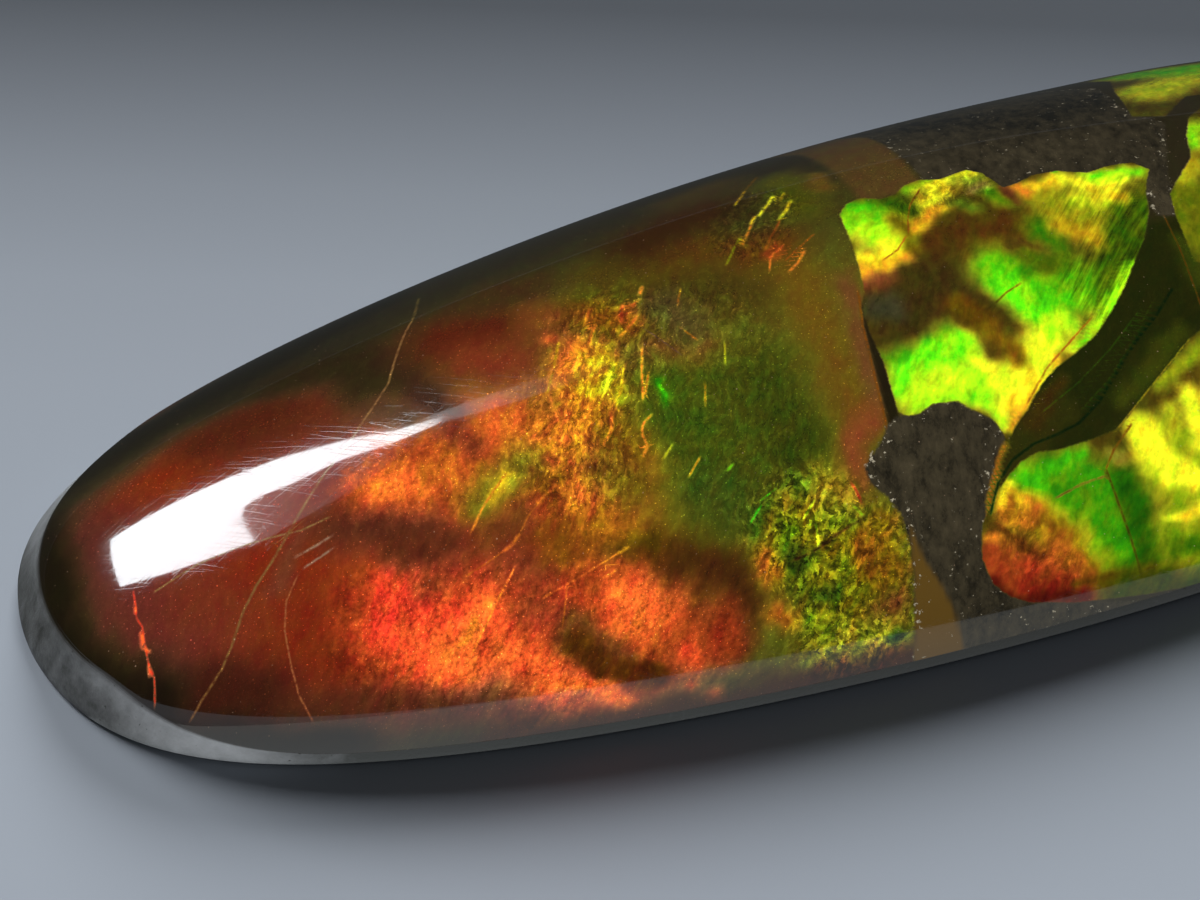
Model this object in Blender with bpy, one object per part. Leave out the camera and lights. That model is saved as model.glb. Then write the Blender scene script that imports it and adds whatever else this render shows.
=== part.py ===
"""Polished ammolite cabochon: one long domed stone that lies on its flat base.

Units are metres. +Z is up, +X runs along the stone, and the origin is under the
middle of its bounding box, in the plane of the base.
"""
import math

import bmesh
import bpy
import numpy as np

# Plan of the stone
HALF_LENGTH = 0.0195
HALF_WIDTH = 0.0080
SQUARENESS = 0.67  # 0 gives an ellipse, 1 a rectangle
TAPER = 0.15  # share of the width gained at the +X end, and lost at the other
END_LOSS = 0.10  # share of the width lost at both ends
BOW = 0.013  # how far both ends bend towards +Y, as a share of HALF_WIDTH

# Height of the dome, and the power of its profile: a lower power gives a steeper side
HEIGHT = 0.00597
PROFILE_POWER = 0.866
POWER_CENTRE = 0.40  # where along the stone the power is highest
LEFT_POWER_LOSS = 0.195
RIGHT_POWER_LOSS = 0.90
POWER_TILT = 0.143  # gained towards the +Y side

# Girdle, foot and the matte facets ground round the edge
GIRDLE_HEIGHT = 0.00037
FOOT_HEIGHT = 0.00012
FOOT_INSET = 0.00010
RIM_RISE = 0.00008
LEFT_FACET_RISE = 0.00123
LEFT_FACET_TURN = math.radians(172.0)
RIGHT_FACET_RISE = 0.00075
RIGHT_FACET_TURN = math.radians(-8.0)
FACET_FULL_TURN = math.radians(24.0)
FACET_END_TURN = math.radians(48.0)

# Mesh
SEGMENTS = 128
DOME_RINGS = 22
FACET_RINGS = 2
SPINE = 0.62  # half-length of the ridge where the rings end, as a share of HALF_LENGTH
MERGE_DISTANCE = 1e-7

# Finish
STONE_COLOUR = (0.115, 0.098, 0.022, 1.0)
STONE_ROUGHNESS = 0.12
SHARP_ANGLE = math.radians(30.0)


def outline(turn):
    """Unit squircle: u^2 + v^2 - SQUARENESS u^2 v^2 = 1, at the given plan angle."""
    along = np.cos(turn)
    across = np.sin(turn)
    corner = SQUARENESS * (along * across) ** 2
    reach = np.sqrt(2.0 / (1.0 + np.sqrt(1.0 - 4.0 * corner)))
    return reach * along, reach * across


def inwardness(u, v):
    """How far a plan point lies inside the outline: 1 in the middle, 0 on it."""
    return np.clip(1.0 - u ** 2 - v ** 2 + SQUARENESS * (u * v) ** 2, 0.0, 1.0)


def profile_power(u, v):
    """Power of the dome's profile over a plan point."""
    away = u - POWER_CENTRE
    loss = np.where(away < 0.0, LEFT_POWER_LOSS, RIGHT_POWER_LOSS)
    return PROFILE_POWER - loss * away ** 2 + POWER_TILT * v


def plan(u, v):
    """Unit plan coordinates to metres, with the stone's taper and bow."""
    swell = 1.0 + TAPER * u - END_LOSS * u ** 2
    return HALF_LENGTH * u, HALF_WIDTH * (v * swell + BOW * u ** 2)


def dome(u, v):
    """Height of the polished dome over the base plane."""
    rise = HEIGHT - GIRDLE_HEIGHT
    return GIRDLE_HEIGHT + rise * inwardness(u, v) ** profile_power(u, v)


def spoke(turn, reach):
    """Point between the ridge, at reach 0, and the outline, at reach 1."""
    edge_u, edge_v = outline(turn)
    ridge_u = SPINE * (1.0 - 2.0 * np.abs(turn) / math.pi)
    return ridge_u + reach * (edge_u - ridge_u), reach * edge_v


def window(turn, centre):
    """1 near the centre angle, falling smoothly to 0 at FACET_END_TURN from it."""
    away = np.abs((turn - centre + math.pi) % (2.0 * math.pi) - math.pi)
    share = (FACET_END_TURN - away) / (FACET_END_TURN - FACET_FULL_TURN)
    share = np.clip(share, 0.0, 1.0)
    return share * share * (3.0 - 2.0 * share)


def crease_reach(turn):
    """Reach where the matte edge meets the polish, from the facet's rise there."""
    rise = RIM_RISE
    rise = rise + (LEFT_FACET_RISE - RIM_RISE) * window(turn, LEFT_FACET_TURN)
    rise = rise + (RIGHT_FACET_RISE - RIM_RISE) * window(turn, RIGHT_FACET_TURN)
    edge_u, edge_v = outline(turn)
    share = rise / (HEIGHT - GIRDLE_HEIGHT)
    wanted = share ** (1.0 / profile_power(edge_u, edge_v))
    low = np.full_like(turn, 0.5)
    high = np.ones_like(turn)
    for _ in range(30):
        middle = 0.5 * (low + high)
        inside = inwardness(*spoke(turn, middle)) > wanted
        low = np.where(inside, middle, low)
        high = np.where(inside, high, middle)
    return 0.5 * (low + high)


def stone_rings():
    """Rings of points from the ridge down to the base, each SEGMENTS long."""
    turn = 2.0 * math.pi * np.arange(SEGMENTS) / SEGMENTS
    turn = np.where(turn > math.pi, turn - 2.0 * math.pi, turn)
    crease = crease_reach(turn)
    rings = []
    for step in range(DOME_RINGS + 1):
        reach = crease * math.sin(0.5 * math.pi * step / DOME_RINGS)
        u, v = spoke(turn, reach)
        rings.append((*plan(u, v), dome(u, v)))
    crease_height = rings[-1][2]
    for step in range(1, FACET_RINGS + 1):
        share = step / FACET_RINGS
        u, v = spoke(turn, crease + share * (1.0 - crease))
        height = crease_height + share * (GIRDLE_HEIGHT - crease_height)
        rings.append((*plan(u, v), height))
    edge_x, edge_y = plan(*spoke(turn, 1.0))
    rings.append((edge_x, edge_y, np.full(SEGMENTS, FOOT_HEIGHT)))
    foot_x, foot_y = plan(*spoke(turn, 1.0 - FOOT_INSET / HALF_WIDTH))
    rings.append((foot_x, foot_y, np.zeros(SEGMENTS)))
    points = np.array(rings).transpose(0, 2, 1)
    middle = 0.5 * (points.min(axis=(0, 1)) + points.max(axis=(0, 1)))
    points[:, :, :2] -= middle[:2]
    return points


def build_stone():
    """Joins the rings into one closed body with a flat base."""
    points = stone_rings()
    shape = bmesh.new()
    loops = [[shape.verts.new(point) for point in ring] for ring in points]
    for upper, lower in zip(loops, loops[1:]):
        for here in range(SEGMENTS):
            after = (here + 1) % SEGMENTS
            shape.faces.new((upper[here], lower[here], lower[after], upper[after]))
    shape.faces.new(reversed(loops[-1]))
    bmesh.ops.remove_doubles(shape, verts=loops[0], dist=MERGE_DISTANCE)
    bmesh.ops.recalc_face_normals(shape, faces=shape.faces)
    mesh = bpy.data.meshes.new("ammolite_stone")
    shape.to_mesh(mesh)
    shape.free()
    mesh.shade_smooth()
    mesh.set_sharp_from_angle(angle=SHARP_ANGLE)
    return mesh


def stone_material():
    """Glossy fossil shell: a dark olive mean of its green, gold and red fire."""
    material = bpy.data.materials.new("ammolite_stone")
    material.use_nodes = True
    surface = material.node_tree.nodes["Principled BSDF"]
    surface.inputs["Base Color"].default_value = STONE_COLOUR
    surface.inputs["Roughness"].default_value = STONE_ROUGHNESS
    surface.inputs["Metallic"].default_value = 0.0
    return material


for old in list(bpy.data.objects):
    bpy.data.objects.remove(old)

stone = bpy.data.objects.new("ammolite_stone", build_stone())
stone.data.materials.append(stone_material())
bpy.context.collection.objects.link(stone)
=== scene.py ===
import math

import bpy
import numpy as np
from mathutils import Matrix, Vector


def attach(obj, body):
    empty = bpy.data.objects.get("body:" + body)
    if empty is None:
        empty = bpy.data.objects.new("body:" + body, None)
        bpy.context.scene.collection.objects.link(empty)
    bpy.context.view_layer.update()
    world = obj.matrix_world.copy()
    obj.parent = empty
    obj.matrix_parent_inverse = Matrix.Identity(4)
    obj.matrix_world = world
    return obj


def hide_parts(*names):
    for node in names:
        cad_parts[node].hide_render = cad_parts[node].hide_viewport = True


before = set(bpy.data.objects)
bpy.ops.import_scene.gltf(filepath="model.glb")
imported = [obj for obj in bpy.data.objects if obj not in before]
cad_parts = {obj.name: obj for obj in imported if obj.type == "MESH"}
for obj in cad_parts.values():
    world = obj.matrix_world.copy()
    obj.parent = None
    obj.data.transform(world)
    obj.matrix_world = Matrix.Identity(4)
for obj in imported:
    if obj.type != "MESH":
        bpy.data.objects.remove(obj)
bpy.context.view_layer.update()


# The stone: one cabochon of polished ammolite, the fossil shell of an ammonite with
# its fire, and the dark matrix where the polish went through it. It was ground to a
# long dome, polished, and left matte on the ground facets round its edge and below.

MM = 0.001
HALF_LENGTH = 19.5 * MM
HALF_WIDTH = 8.0 * MM
SQUARENESS = 0.67
TAPER = 0.15
END_LOSS = 0.10
BOW = 0.013
HEIGHT = 5.97 * MM
PROFILE_POWER = 0.866
POWER_CENTRE = 0.40
LEFT_POWER_LOSS = 0.195
RIGHT_POWER_LOSS = 0.90
POWER_TILT = 0.143
GIRDLE_HEIGHT = 0.37 * MM
FOOT_HEIGHT = 0.12 * MM
FOOT_INSET = 0.10 * MM
RIM_RISE = 0.08 * MM
LEFT_FACET_RISE = 1.23 * MM
LEFT_FACET_TURN = math.radians(172.0)
RIGHT_FACET_RISE = 0.75 * MM
RIGHT_FACET_TURN = math.radians(-8.0)
FACET_FULL_TURN = math.radians(30.0)
FACET_END_TURN = math.radians(58.0)
SPINE = 0.62
INSIDE_SOLID = 0.9999

SPOKES = 800
SPOKE_CROWDING = 0.15
DOME_ROWS = 112
FACET_ROWS = 5
WALL_ROWS = 2
BASE_ROWS = 2
SKIN_STEPS = 48
ROW_CROWDING = 0.5
LEAST_CREASE = 0.5
HALVINGS = 30


def outline(turn):
    """Unit squircle, u^2 + v^2 - SQUARENESS u^2 v^2 = 1, at a plan angle."""
    along, across = np.cos(turn), np.sin(turn)
    corner = SQUARENESS * (along * across) ** 2
    reach = np.sqrt(2.0 / (1.0 + np.sqrt(1.0 - 4.0 * corner)))
    return reach * along, reach * across


def inwardness(u, v):
    """1 in the middle of the plan, falling to 0 on the outline."""
    return np.clip(1.0 - u ** 2 - v ** 2 + SQUARENESS * (u * v) ** 2, 0.0, 1.0)


def profile_power(u, v):
    """Power of the dome's profile: a parabola along the stone, tilted across it."""
    away = u - POWER_CENTRE
    loss = np.where(away < 0.0, LEFT_POWER_LOSS, RIGHT_POWER_LOSS)
    return PROFILE_POWER - loss * away ** 2 + POWER_TILT * v


def plan(u, v):
    """Unit plan to metres: the width swells with TAPER, and both ends bow to +Y."""
    swell = 1.0 + TAPER * u - END_LOSS * u ** 2
    return HALF_LENGTH * u, HALF_WIDTH * (v * swell + BOW * u ** 2)


def dome(u, v):
    """Height: the girdle plus the rise times inwardness to the profile power."""
    rise = HEIGHT - GIRDLE_HEIGHT
    return GIRDLE_HEIGHT + rise * inwardness(u, v) ** profile_power(u, v)


def spoke(turn, reach):
    """Straight line in plan from the ridge, at reach 0, to the outline, at reach 1."""
    edge_u, edge_v = outline(turn)
    ridge_u = SPINE * (1.0 - 2.0 * np.abs(turn) / math.pi)
    return ridge_u + reach * (edge_u - ridge_u), reach * edge_v


def ease(share):
    """Smooth step from 0 to 1."""
    share = np.clip(share, 0.0, 1.0)
    return share * share * (3.0 - 2.0 * share)


def window(turn, centre):
    """1 near the centre angle, eased to 0 at FACET_END_TURN from it."""
    away = np.abs((turn - centre + math.pi) % (2.0 * math.pi) - math.pi)
    return ease((FACET_END_TURN - away) / (FACET_END_TURN - FACET_FULL_TURN))


def crease_reach(turn):
    """Reach where the matte edge meets the polish, by halving steps to its rise."""
    rise = RIM_RISE
    rise = rise + (LEFT_FACET_RISE - RIM_RISE) * window(turn, LEFT_FACET_TURN)
    rise = rise + (RIGHT_FACET_RISE - RIM_RISE) * window(turn, RIGHT_FACET_TURN)
    share = rise / (HEIGHT - GIRDLE_HEIGHT)
    wanted = share ** (1.0 / profile_power(*outline(turn)))
    low = np.full_like(turn, LEAST_CREASE)
    high = np.ones_like(turn)
    for _ in range(HALVINGS):
        middle = 0.5 * (low + high)
        inside = inwardness(*spoke(turn, middle)) > wanted
        low = np.where(inside, middle, low)
        high = np.where(inside, high, middle)
    return 0.5 * (low + high)


def skin_across(u, v):
    """Length of skin walked across the stone from the ridge line to (u, v)."""
    share = np.linspace(0.0, 1.0, SKIN_STEPS + 1)[:, None]
    y = plan(u, v * share)[1]
    z = dome(u, v * share)
    return np.sign(v) * np.hypot(np.diff(y, axis=0), np.diff(z, axis=0)).sum(axis=0)


# Each row of the grid holds x, y, z, the place on the skin along and across the stone,
# and 1 where the row is matte. Rows run from the ridge down to the middle of the base.
turn = 2.0 * math.pi * np.arange(SPOKES) / SPOKES
turn = np.where(turn > math.pi, turn - 2.0 * math.pi, turn)
turn = turn + SPOKE_CROWDING * np.sin(2.0 * turn)
crease = crease_reach(turn)
rows = []
for share in np.linspace(0.0, 1.0, DOME_ROWS + 1):
    crowded = math.sin(0.5 * math.pi * share)
    reach = crease * (share + ROW_CROWDING * (crowded - share))
    u, v = spoke(turn, reach)
    x, y = plan(u, v)
    rows.append((x, y, dome(u, v), x, skin_across(u, v), np.zeros(SPOKES)))

crease_x, crease_y, crease_z, crease_s, crease_w = rows[-1][:5]
edge_x, edge_y = plan(*spoke(turn, 1.0))
skirt = [(crease_x, crease_y, crease_z)]
for share in np.linspace(0.0, 1.0, FACET_ROWS + 1)[1:]:
    facet_x, facet_y = plan(*spoke(turn, crease + share * (1.0 - crease)))
    skirt.append((facet_x, facet_y, crease_z + share * (GIRDLE_HEIGHT - crease_z)))
for share in np.linspace(0.0, 1.0, WALL_ROWS + 1)[1:]:
    wall_z = GIRDLE_HEIGHT + share * (FOOT_HEIGHT - GIRDLE_HEIGHT)
    skirt.append((edge_x, edge_y, np.full(SPOKES, wall_z)))
foot_reach = 1.0 - FOOT_INSET / HALF_WIDTH
skirt.append((*plan(*spoke(turn, foot_reach)), np.zeros(SPOKES)))

# Below the crease the skin goes on straight outwards in plan, by the length walked.
skirt = np.array(skirt)
walked = np.cumsum(np.sqrt((np.diff(skirt, axis=0) ** 2).sum(axis=1)), axis=0)
out_s = np.roll(edge_y, -1) - np.roll(edge_y, 1)
out_w = np.roll(edge_x, 1) - np.roll(edge_x, -1)
out_length = np.hypot(out_s, out_w)
for row, far in zip(skirt[1:], walked):
    skin_s = crease_s + far * out_s / out_length
    skin_w = crease_w + far * out_w / out_length
    rows.append((*row, skin_s, skin_w, np.ones(SPOKES)))
TOP_ROWS = len(rows)
for share in np.linspace(1.0, 0.0, BASE_ROWS + 1)[1:]:
    x, y = plan(*spoke(turn, foot_reach * share))
    rows.append((x, y, np.zeros(SPOKES), x, y, np.ones(SPOKES)))

grid = np.array(rows)
middle_y = 0.5 * (grid[:, 1].min() + grid[:, 1].max())
grid[:, 1] -= middle_y
grid[:, :2] *= INSIDE_SOLID

# The first and last rows are folded in two, so that each of their points is used once.
index = np.arange(grid.shape[0] * SPOKES).reshape(grid.shape[0], SPOKES)
spokes = np.arange(SPOKES)
folded = np.minimum(spokes, SPOKES - spokes)
index[0] = folded
index[-1] = index[-1][0] + folded
upper, lower = index[:-1], index[1:]
faces = np.stack([upper, lower, np.roll(lower, -1, axis=1), np.roll(upper, -1, axis=1)], axis=-1)
faces = faces.reshape(-1, 4)
used, renumbered = np.unique(faces, return_inverse=True)
faces = renumbered.reshape(-1, 4)
points = grid.transpose(0, 2, 1).reshape(-1, 6)[used]
row_of_point = used // SPOKES
skin = points[:, 3:5] / MM
matte = points[:, 5]


# The fire is laid on in soft strokes, in millimetres along and across the skin. A sheet
# of paint holds film, the hue from crimson at 0 to teal at 1, glow, the strength of the
# light, and dull, how far the hue has gone grey.

ORANGE = 0.18
GOLD = 0.39

RIPPLES = ((1.6, 0.035), (0.9, 0.035), (0.5, 0.025))
RIPPLE_WAVES = 5
RIPPLE_SHARE = 0.45
RIPPLE_SEEDS = (3, 8)


def ripple(seed):
    """Sum of plane sine waves of random direction and phase, longer ones stronger."""
    random = np.random.default_rng(seed)
    total = np.zeros(len(skin))
    for length, height in RIPPLES:
        for heading, phase in random.uniform(0.0, 2.0 * math.pi, (RIPPLE_WAVES, 2)):
            along = skin @ (math.cos(heading), math.sin(heading))
            wave = np.sin(2.0 * math.pi * along / length + phase)
            total += RIPPLE_SHARE * height * wave
    return total


wavy = skin + np.column_stack([ripple(seed) for seed in RIPPLE_SEEDS])


def distance(place, path):
    """Distance of each place from the nearest stretch of a path."""
    best = np.hypot(*(place - path[0]).T)
    for start, end in zip(path[:-1], path[1:]):
        stretch = np.subtract(end, start)
        away = place - start
        along = np.clip(away @ stretch / (stretch @ stretch), 0.0, 1.0)
        best = np.minimum(best, np.hypot(*(away - along[:, None] * stretch).T))
    return best


def cover(reach, path, core):
    """1 within core of the reach from a path, eased to 0 at the reach."""
    return ease((reach - distance(wavy, path)) / (reach * (1.0 - core)))


def lay(sheet, hue, light, reach, *path, dull=0.0, core=0.0, strength=1.0):
    """Draws a sheet of paint towards a hue and a light along a path."""
    weight = strength * cover(reach, path, core)
    for field, value in zip(sheet, (hue, light, dull)):
        field += weight * (value - field)


def dab(field, value, reach, *path, core=0.0, strength=1.0):
    """Draws one field towards a value along a path."""
    field += strength * cover(reach, path, core) * (value - field)


def fenced(*corners):
    """Distance to a closed outline, positive inside it: even-odd rule for the sign."""
    fence = np.array([*corners, corners[0]])
    s, w = skin.T
    odd = np.zeros(len(skin), dtype=bool)
    for (from_s, from_w), (to_s, to_w) in zip(fence[:-1], fence[1:]):
        if from_w != to_w:
            crossing = from_s + (w - from_w) * (to_s - from_s) / (to_w - from_w)
            odd ^= ((from_w > w) != (to_w > w)) & (s < crossing)
    return np.where(odd, 1.0, -1.0) * distance(skin, fence)


def inside(fence, blur):
    """1 inside a closed outline, eased to 0 outside it over the width of a blur."""
    return ease(0.5 + fence / blur)


def fill(sheet, fence, blur, hue, light, dull):
    """Draws a sheet of paint towards a hue and a light inside a closed outline."""
    share = inside(fence, blur)
    for field, value in zip(sheet, (hue, light, dull)):
        field += share * (value - field)


def even(*values):
    """Fields that hold one value each, the same everywhere."""
    return np.array([np.full(len(skin), value) for value in values])


def veil(*stroke, **manner):
    """A stroke of the paint that lies below the bright plates."""
    lay(under, *stroke, **manner)


under = even(GOLD, 0.19, 0.5)

# Washes: green in the middle, red-brown to the left, orange between
veil(0.42, 0.25, 6.5, (-7.5, -2.0), (-1.0, -1.5), (0.5, -5.0), dull=0.2, core=0.5)
veil(0.44, 0.34, 5.6, (-5.0, -2.5), (-1.5, -3.5), (-2.0, -7.0), dull=0.1, core=0.45)
veil(0.12, 0.44, 5.0, (-14.4, -1.8), (-12.8, -3.4), core=0.5)
veil(0.15, 0.60, 3.8, (-10.4, -4.0), (-8.2, -5.4), (-8.0, -6.8), core=0.4)
veil(0.19, 0.64, 2.6, (-10.0, -1.6), (-7.2, -2.4), core=0.3)
veil(0.30, 0.55, 2.0, (-6.8, -1.6), (-6.4, -3.6), dull=0.04)

# Left end: red-brown over most of the dome, dark olive at the rim
veil(0.14, 0.47, 2.0, (-16.6, 1.3), (-15.0, 1.5))
veil(0.16, 0.36, 2.0, (-13.6, 1.4), (-12.2, 1.2), dull=0.08)
veil(0.38, 0.14, 1.7, (-17.0, 4.2), (-14.5, 4.6), (-12.5, 4.6), (-9.5, 5.6), dull=0.5, core=0.2)
veil(0.07, 0.36, 2.2, (-17.8, 0.8), (-17.5, -1.4), (-16.9, -3.0), dull=0.2, strength=0.8)
veil(0.36, 0.11, 1.9, (-20.0, 1.8), (-19.9, -1.8), (-19.3, -3.2), dull=0.3, core=0.4)
veil(0.36, 0.12, 1.1, (-18.5, 2.6), (-18.7, 1.2), (-18.9, 0.0), dull=0.3)
veil(0.15, 0.30, 1.3, (-14.6, 1.9), (-13.0, 1.7), dull=0.05, strength=0.8)
veil(0.30, 0.12, 1.5, (-18.0, -3.9), (-17.2, -5.2), (-15.8, -6.4), (-14.2, -7.2), dull=0.3, core=0.2)
veil(0.16, 0.34, 0.9, (-15.0, -5.6), (-13.2, -6.5), (-11.4, -7.5), (-10.0, -8.2), dull=0.1, strength=0.8)
veil(0.15, 0.42, 1.4, (-16.4, -2.4), (-15.4, -3.4), dull=0.05, strength=0.6)
veil(0.14, 0.24, 1.2, (-16.6, -4.4), (-15.6, -5.0), dull=0.1)

# Grey groove right of the long fissure, its grey a painted shading of the groove; then a dark gap
# and the second red plate
veil(0.20, 0.36, 0.45, (-13.2, -1.8), (-14.0, -2.4), (-14.6, -3.0), dull=0.3, strength=0.4)
veil(0.30, 0.20, 0.75, (-10.3, 2.2), (-10.0, 1.1), (-9.8, 0.3), dull=0.3)
veil(0.34, 0.19, 1.2, (-12.2, 2.9), (-10.9, 2.4), (-10.8, 1.2), dull=0.3)
veil(0.26, 0.32, 0.8, (-10.8, 0.2), (-10.4, -0.3), dull=0.25)
veil(0.22, 0.24, 0.7, (-9.9, 0.2), (-9.5, -0.8), dull=0.25)
veil(0.14, 0.33, 2.0, (-8.8, 1.6), (-7.9, 1.2), dull=0.03)
veil(0.15, 0.44, 1.3, (-8.5, 0.5), (-7.8, 0.0), dull=0.05)
veil(0.30, 0.26, 1.2, (-7.2, 2.6), (-6.4, 2.2), dull=0.2)

# Bottom left: red and orange clouds
veil(0.12, 0.64, 1.7, (-12.6, -5.0), (-11.8, -4.6))
veil(0.10, 0.80, 1.6, (-12.2, -5.0), (-11.4, -5.4), (-10.8, -5.6), core=0.2)
veil(0.07, 0.95, 0.85, (-12.5, -5.0), (-12.2, -4.4), (-11.9, -4.0))
veil(0.11, 0.96, 1.3, (-11.8, -5.7), (-11.2, -6.2), (-10.7, -5.6), core=0.2)
veil(0.17, 0.99, 0.9, (-11.5, -6.2), (-11.0, -6.4))
veil(0.20, 1.00, 0.42, (-10.3, -5.3), (-11.0, -6.0))
veil(0.12, 0.56, 0.7, (-11.5, -4.4), (-10.7, -4.3), dull=0.03)
veil(0.15, 0.50, 1.1, (-9.6, -4.4), (-9.0, -4.9), dull=0.05)
veil(0.12, 0.58, 0.8, (-9.4, -5.9), (-8.9, -6.2), dull=0.03)
veil(0.14, 0.98, 1.1, (-10.3, -6.5), (-9.6, -7.2), (-9.2, -7.6))
veil(0.30, 0.38, 0.8, (-8.5, -6.8), (-8.2, -7.1), dull=0.1)
veil(0.30, 0.32, 0.6, (-7.9, -7.4), (-7.6, -7.9), dull=0.1)
veil(0.18, 0.90, 0.55, (-9.0, -7.9), (-8.3, -8.3), (-7.9, -8.6), dull=0.08)
veil(0.22, 0.66, 0.8, (-8.2, -4.9), (-7.8, -5.1))
veil(0.34, 0.34, 0.5, (-7.3, -5.3), (-6.9, -5.4), dull=0.05)

# Second orange cloud, its lobes, and the brown beside it
veil(0.16, 0.64, 1.8, (-7.2, -6.7), (-6.4, -7.2), (-6.0, -7.8))
veil(0.16, 0.96, 0.9, (-7.2, -6.4), (-6.7, -6.4), (-6.5, -6.9), (-7.0, -7.1))
veil(0.12, 0.90, 0.5, (-6.1, -8.0), (-6.0, -8.5))
veil(0.13, 0.50, 1.0, (-5.2, -8.3), (-5.0, -7.8))
veil(0.15, 0.78, 0.35, (-6.2, -9.0))
veil(0.15, 0.78, 0.35, (-5.7, -9.4))
veil(0.24, 0.26, 1.4, (-5.8, -6.0), (-5.0, -6.5), (-4.7, -7.2), dull=0.04)
veil(0.24, 0.44, 0.9, (-8.5, -4.6), (-7.3, -4.8))
veil(0.32, 0.30, 0.7, (-6.8, -5.2), (-6.3, -5.5))
veil(0.13, 0.74, 0.5, (-8.1, -6.2), (-7.8, -6.6))
veil(0.13, 0.58, 0.7, (-5.4, -8.2), (-5.1, -7.7))
veil(0.16, 1.0, 0.7, (-7.5, -6.5), (-7.1, -7.1), strength=0.8)
veil(0.22, 0.32, 0.42, (-8.6, -7.0), (-8.1, -7.75), (-7.5, -8.2), (-6.9, -8.5), core=0.3)
veil(0.18, 1.0, 0.26, (-9.3, -7.6), (-8.6, -8.0), (-8.1, -8.4), (-7.7, -8.8), core=0.4)

# Orange right of the bright reflection, and the dark folds under it
veil(0.16, 0.33, 1.0, (-12.9, -2.3), (-12.0, -2.8), (-11.2, -3.3), dull=0.12)
veil(0.17, 0.82, 1.05, (-11.8, -1.6), (-11.3, -1.9), (-10.9, -2.1))
veil(0.19, 0.98, 0.62, (-11.5, -1.8), (-11.1, -2.0))
veil(0.20, 0.76, 0.75, (-10.2, -2.0), (-9.8, -2.4))
veil(0.16, 0.48, 0.6, (-9.6, -1.1), (-9.4, -1.7), dull=0.05)
veil(0.19, 0.84, 1.0, (-8.6, -1.5), (-8.2, -2.1), (-7.6, -2.5))
veil(0.42, 0.44, 0.9, (-9.7, -3.3), (-9.0, -2.9), (-8.3, -2.7), dull=0.05)
veil(0.36, 0.84, 0.32, (-9.4, -3.2), (-8.9, -2.8))
veil(0.24, 0.46, 0.7, (-8.2, -3.4), (-7.6, -3.5))
veil(0.16, 0.34, 0.8, (-11.8, -3.4), (-10.6, -3.8), dull=0.08)
veil(0.20, 0.40, 0.7, (-9.7, -4.0), (-9.0, -3.9), dull=0.05)
veil(0.22, 0.92, 0.6, (-7.5, -3.8), (-7.3, -4.1))
veil(0.32, 1.0, 0.35, (-7.7, -4.1))
veil(0.27, 0.66, 0.8, (-7.4, -4.6), (-6.9, -4.8))

# Crumpled foil where the orange breaks up into the green
veil(0.54, 0.31, 2.4, (-4.6, -2.6), (-4.6, -4.4), dull=0.05)
veil(0.40, 0.36, 1.5, (-5.6, 0.6), (-3.6, 0.6), dull=0.05)
veil(0.34, 0.44, 1.2, (-6.4, -3.6), (-6.0, -4.4), dull=0.03)
veil(0.22, 0.46, 1.1, (-6.6, 0.9), (-6.5, 0.1), dull=0.06)
veil(0.24, 0.80, 1.2, (-7.4, -2.6), (-6.7, -2.0), (-6.4, -1.0))
veil(0.25, 0.90, 0.62, (-7.2, -2.6), (-6.8, -2.2), (-6.5, -1.7))
veil(0.24, 0.88, 0.60, (-6.7, -0.9), (-6.3, -0.4))
veil(0.13, 0.82, 0.35, (-6.7, 0.2))
veil(0.35, 0.78, 0.75, (-6.4, -1.5), (-5.8, -0.8))
veil(0.46, 0.74, 0.28, (-6.1, -1.7), (-5.7, -1.2))
veil(0.46, 0.72, 0.22, (-6.0, -2.1), (-5.7, -1.8))
veil(0.30, 0.62, 0.70, (-5.4, 0.2), (-4.9, -0.2))
veil(0.22, 0.70, 0.30, (-5.1, -0.2), (-4.8, 0.2))
veil(0.66, 0.52, 0.35, (-4.9, -2.0), (-4.9, -2.5))
veil(0.34, 0.42, 0.8, (-5.0, -1.0), (-4.2, -1.4), (-3.6, -1.6), dull=0.1)
veil(0.38, 0.27, 1.6, (-3.4, 0.4), (-1.8, -0.4), dull=0.1)
veil(0.38, 0.33, 0.9, (-4.0, -0.1), (-3.7, -0.8), dull=0.25)
veil(0.54, 0.30, 1.3, (-4.8, -4.9), (-4.2, -5.6), dull=0.1)
veil(0.52, 0.26, 1.8, (-2.6, -3.0), (-2.4, -4.6), dull=0.05)
veil(0.26, 0.46, 0.8, (-5.7, 0.5), (-5.1, -0.4), strength=0.7)
veil(0.31, 0.42, 0.8, (-6.4, -2.7), (-5.9, -3.4), strength=0.7)

# Upper slope: dark olive and brown veils that fade towards the far rim
veil(0.38, 0.29, 1.3, (-4.8, 1.6), (-3.8, 1.5), dull=0.08)
veil(0.31, 0.32, 1.3, (-3.2, 1.5), (-2.4, 1.3), dull=0.05)
veil(0.27, 0.22, 1.6, (-3.6, 2.4), (-1.8, 3.0), dull=0.1)
veil(0.36, 0.26, 1.3, (-2.0, 4.2), (-1.0, 4.4), dull=0.2)
veil(0.28, 0.34, 1.1, (-1.6, 0.6), (-0.8, 0.6), dull=0.03)
veil(0.46, 0.30, 1.2, (0.1, 1.8), (0.2, 3.2), dull=0.03)
veil(0.34, 0.38, 0.5, (1.0, 2.9), (0.9, 2.2), dull=0.1)

# Orange-brown margin along the edge of the next plate
veil(0.34, 0.38, 1.1, (-0.9, -0.4), (-0.9, -2.4), (-0.9, -4.0), dull=0.05)
veil(0.28, 0.40, 0.5, (0.1, -1.0), (-0.1, -2.6), (-0.3, -4.2), dull=0.15)
veil(0.20, 0.48, 0.7, (-0.7, -4.5), (-1.2, -4.9), (-1.4, -5.7), dull=0.08)
veil(0.20, 0.56, 0.35, (-1.2, 0.3), (-1.0, 0.5))

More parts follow.
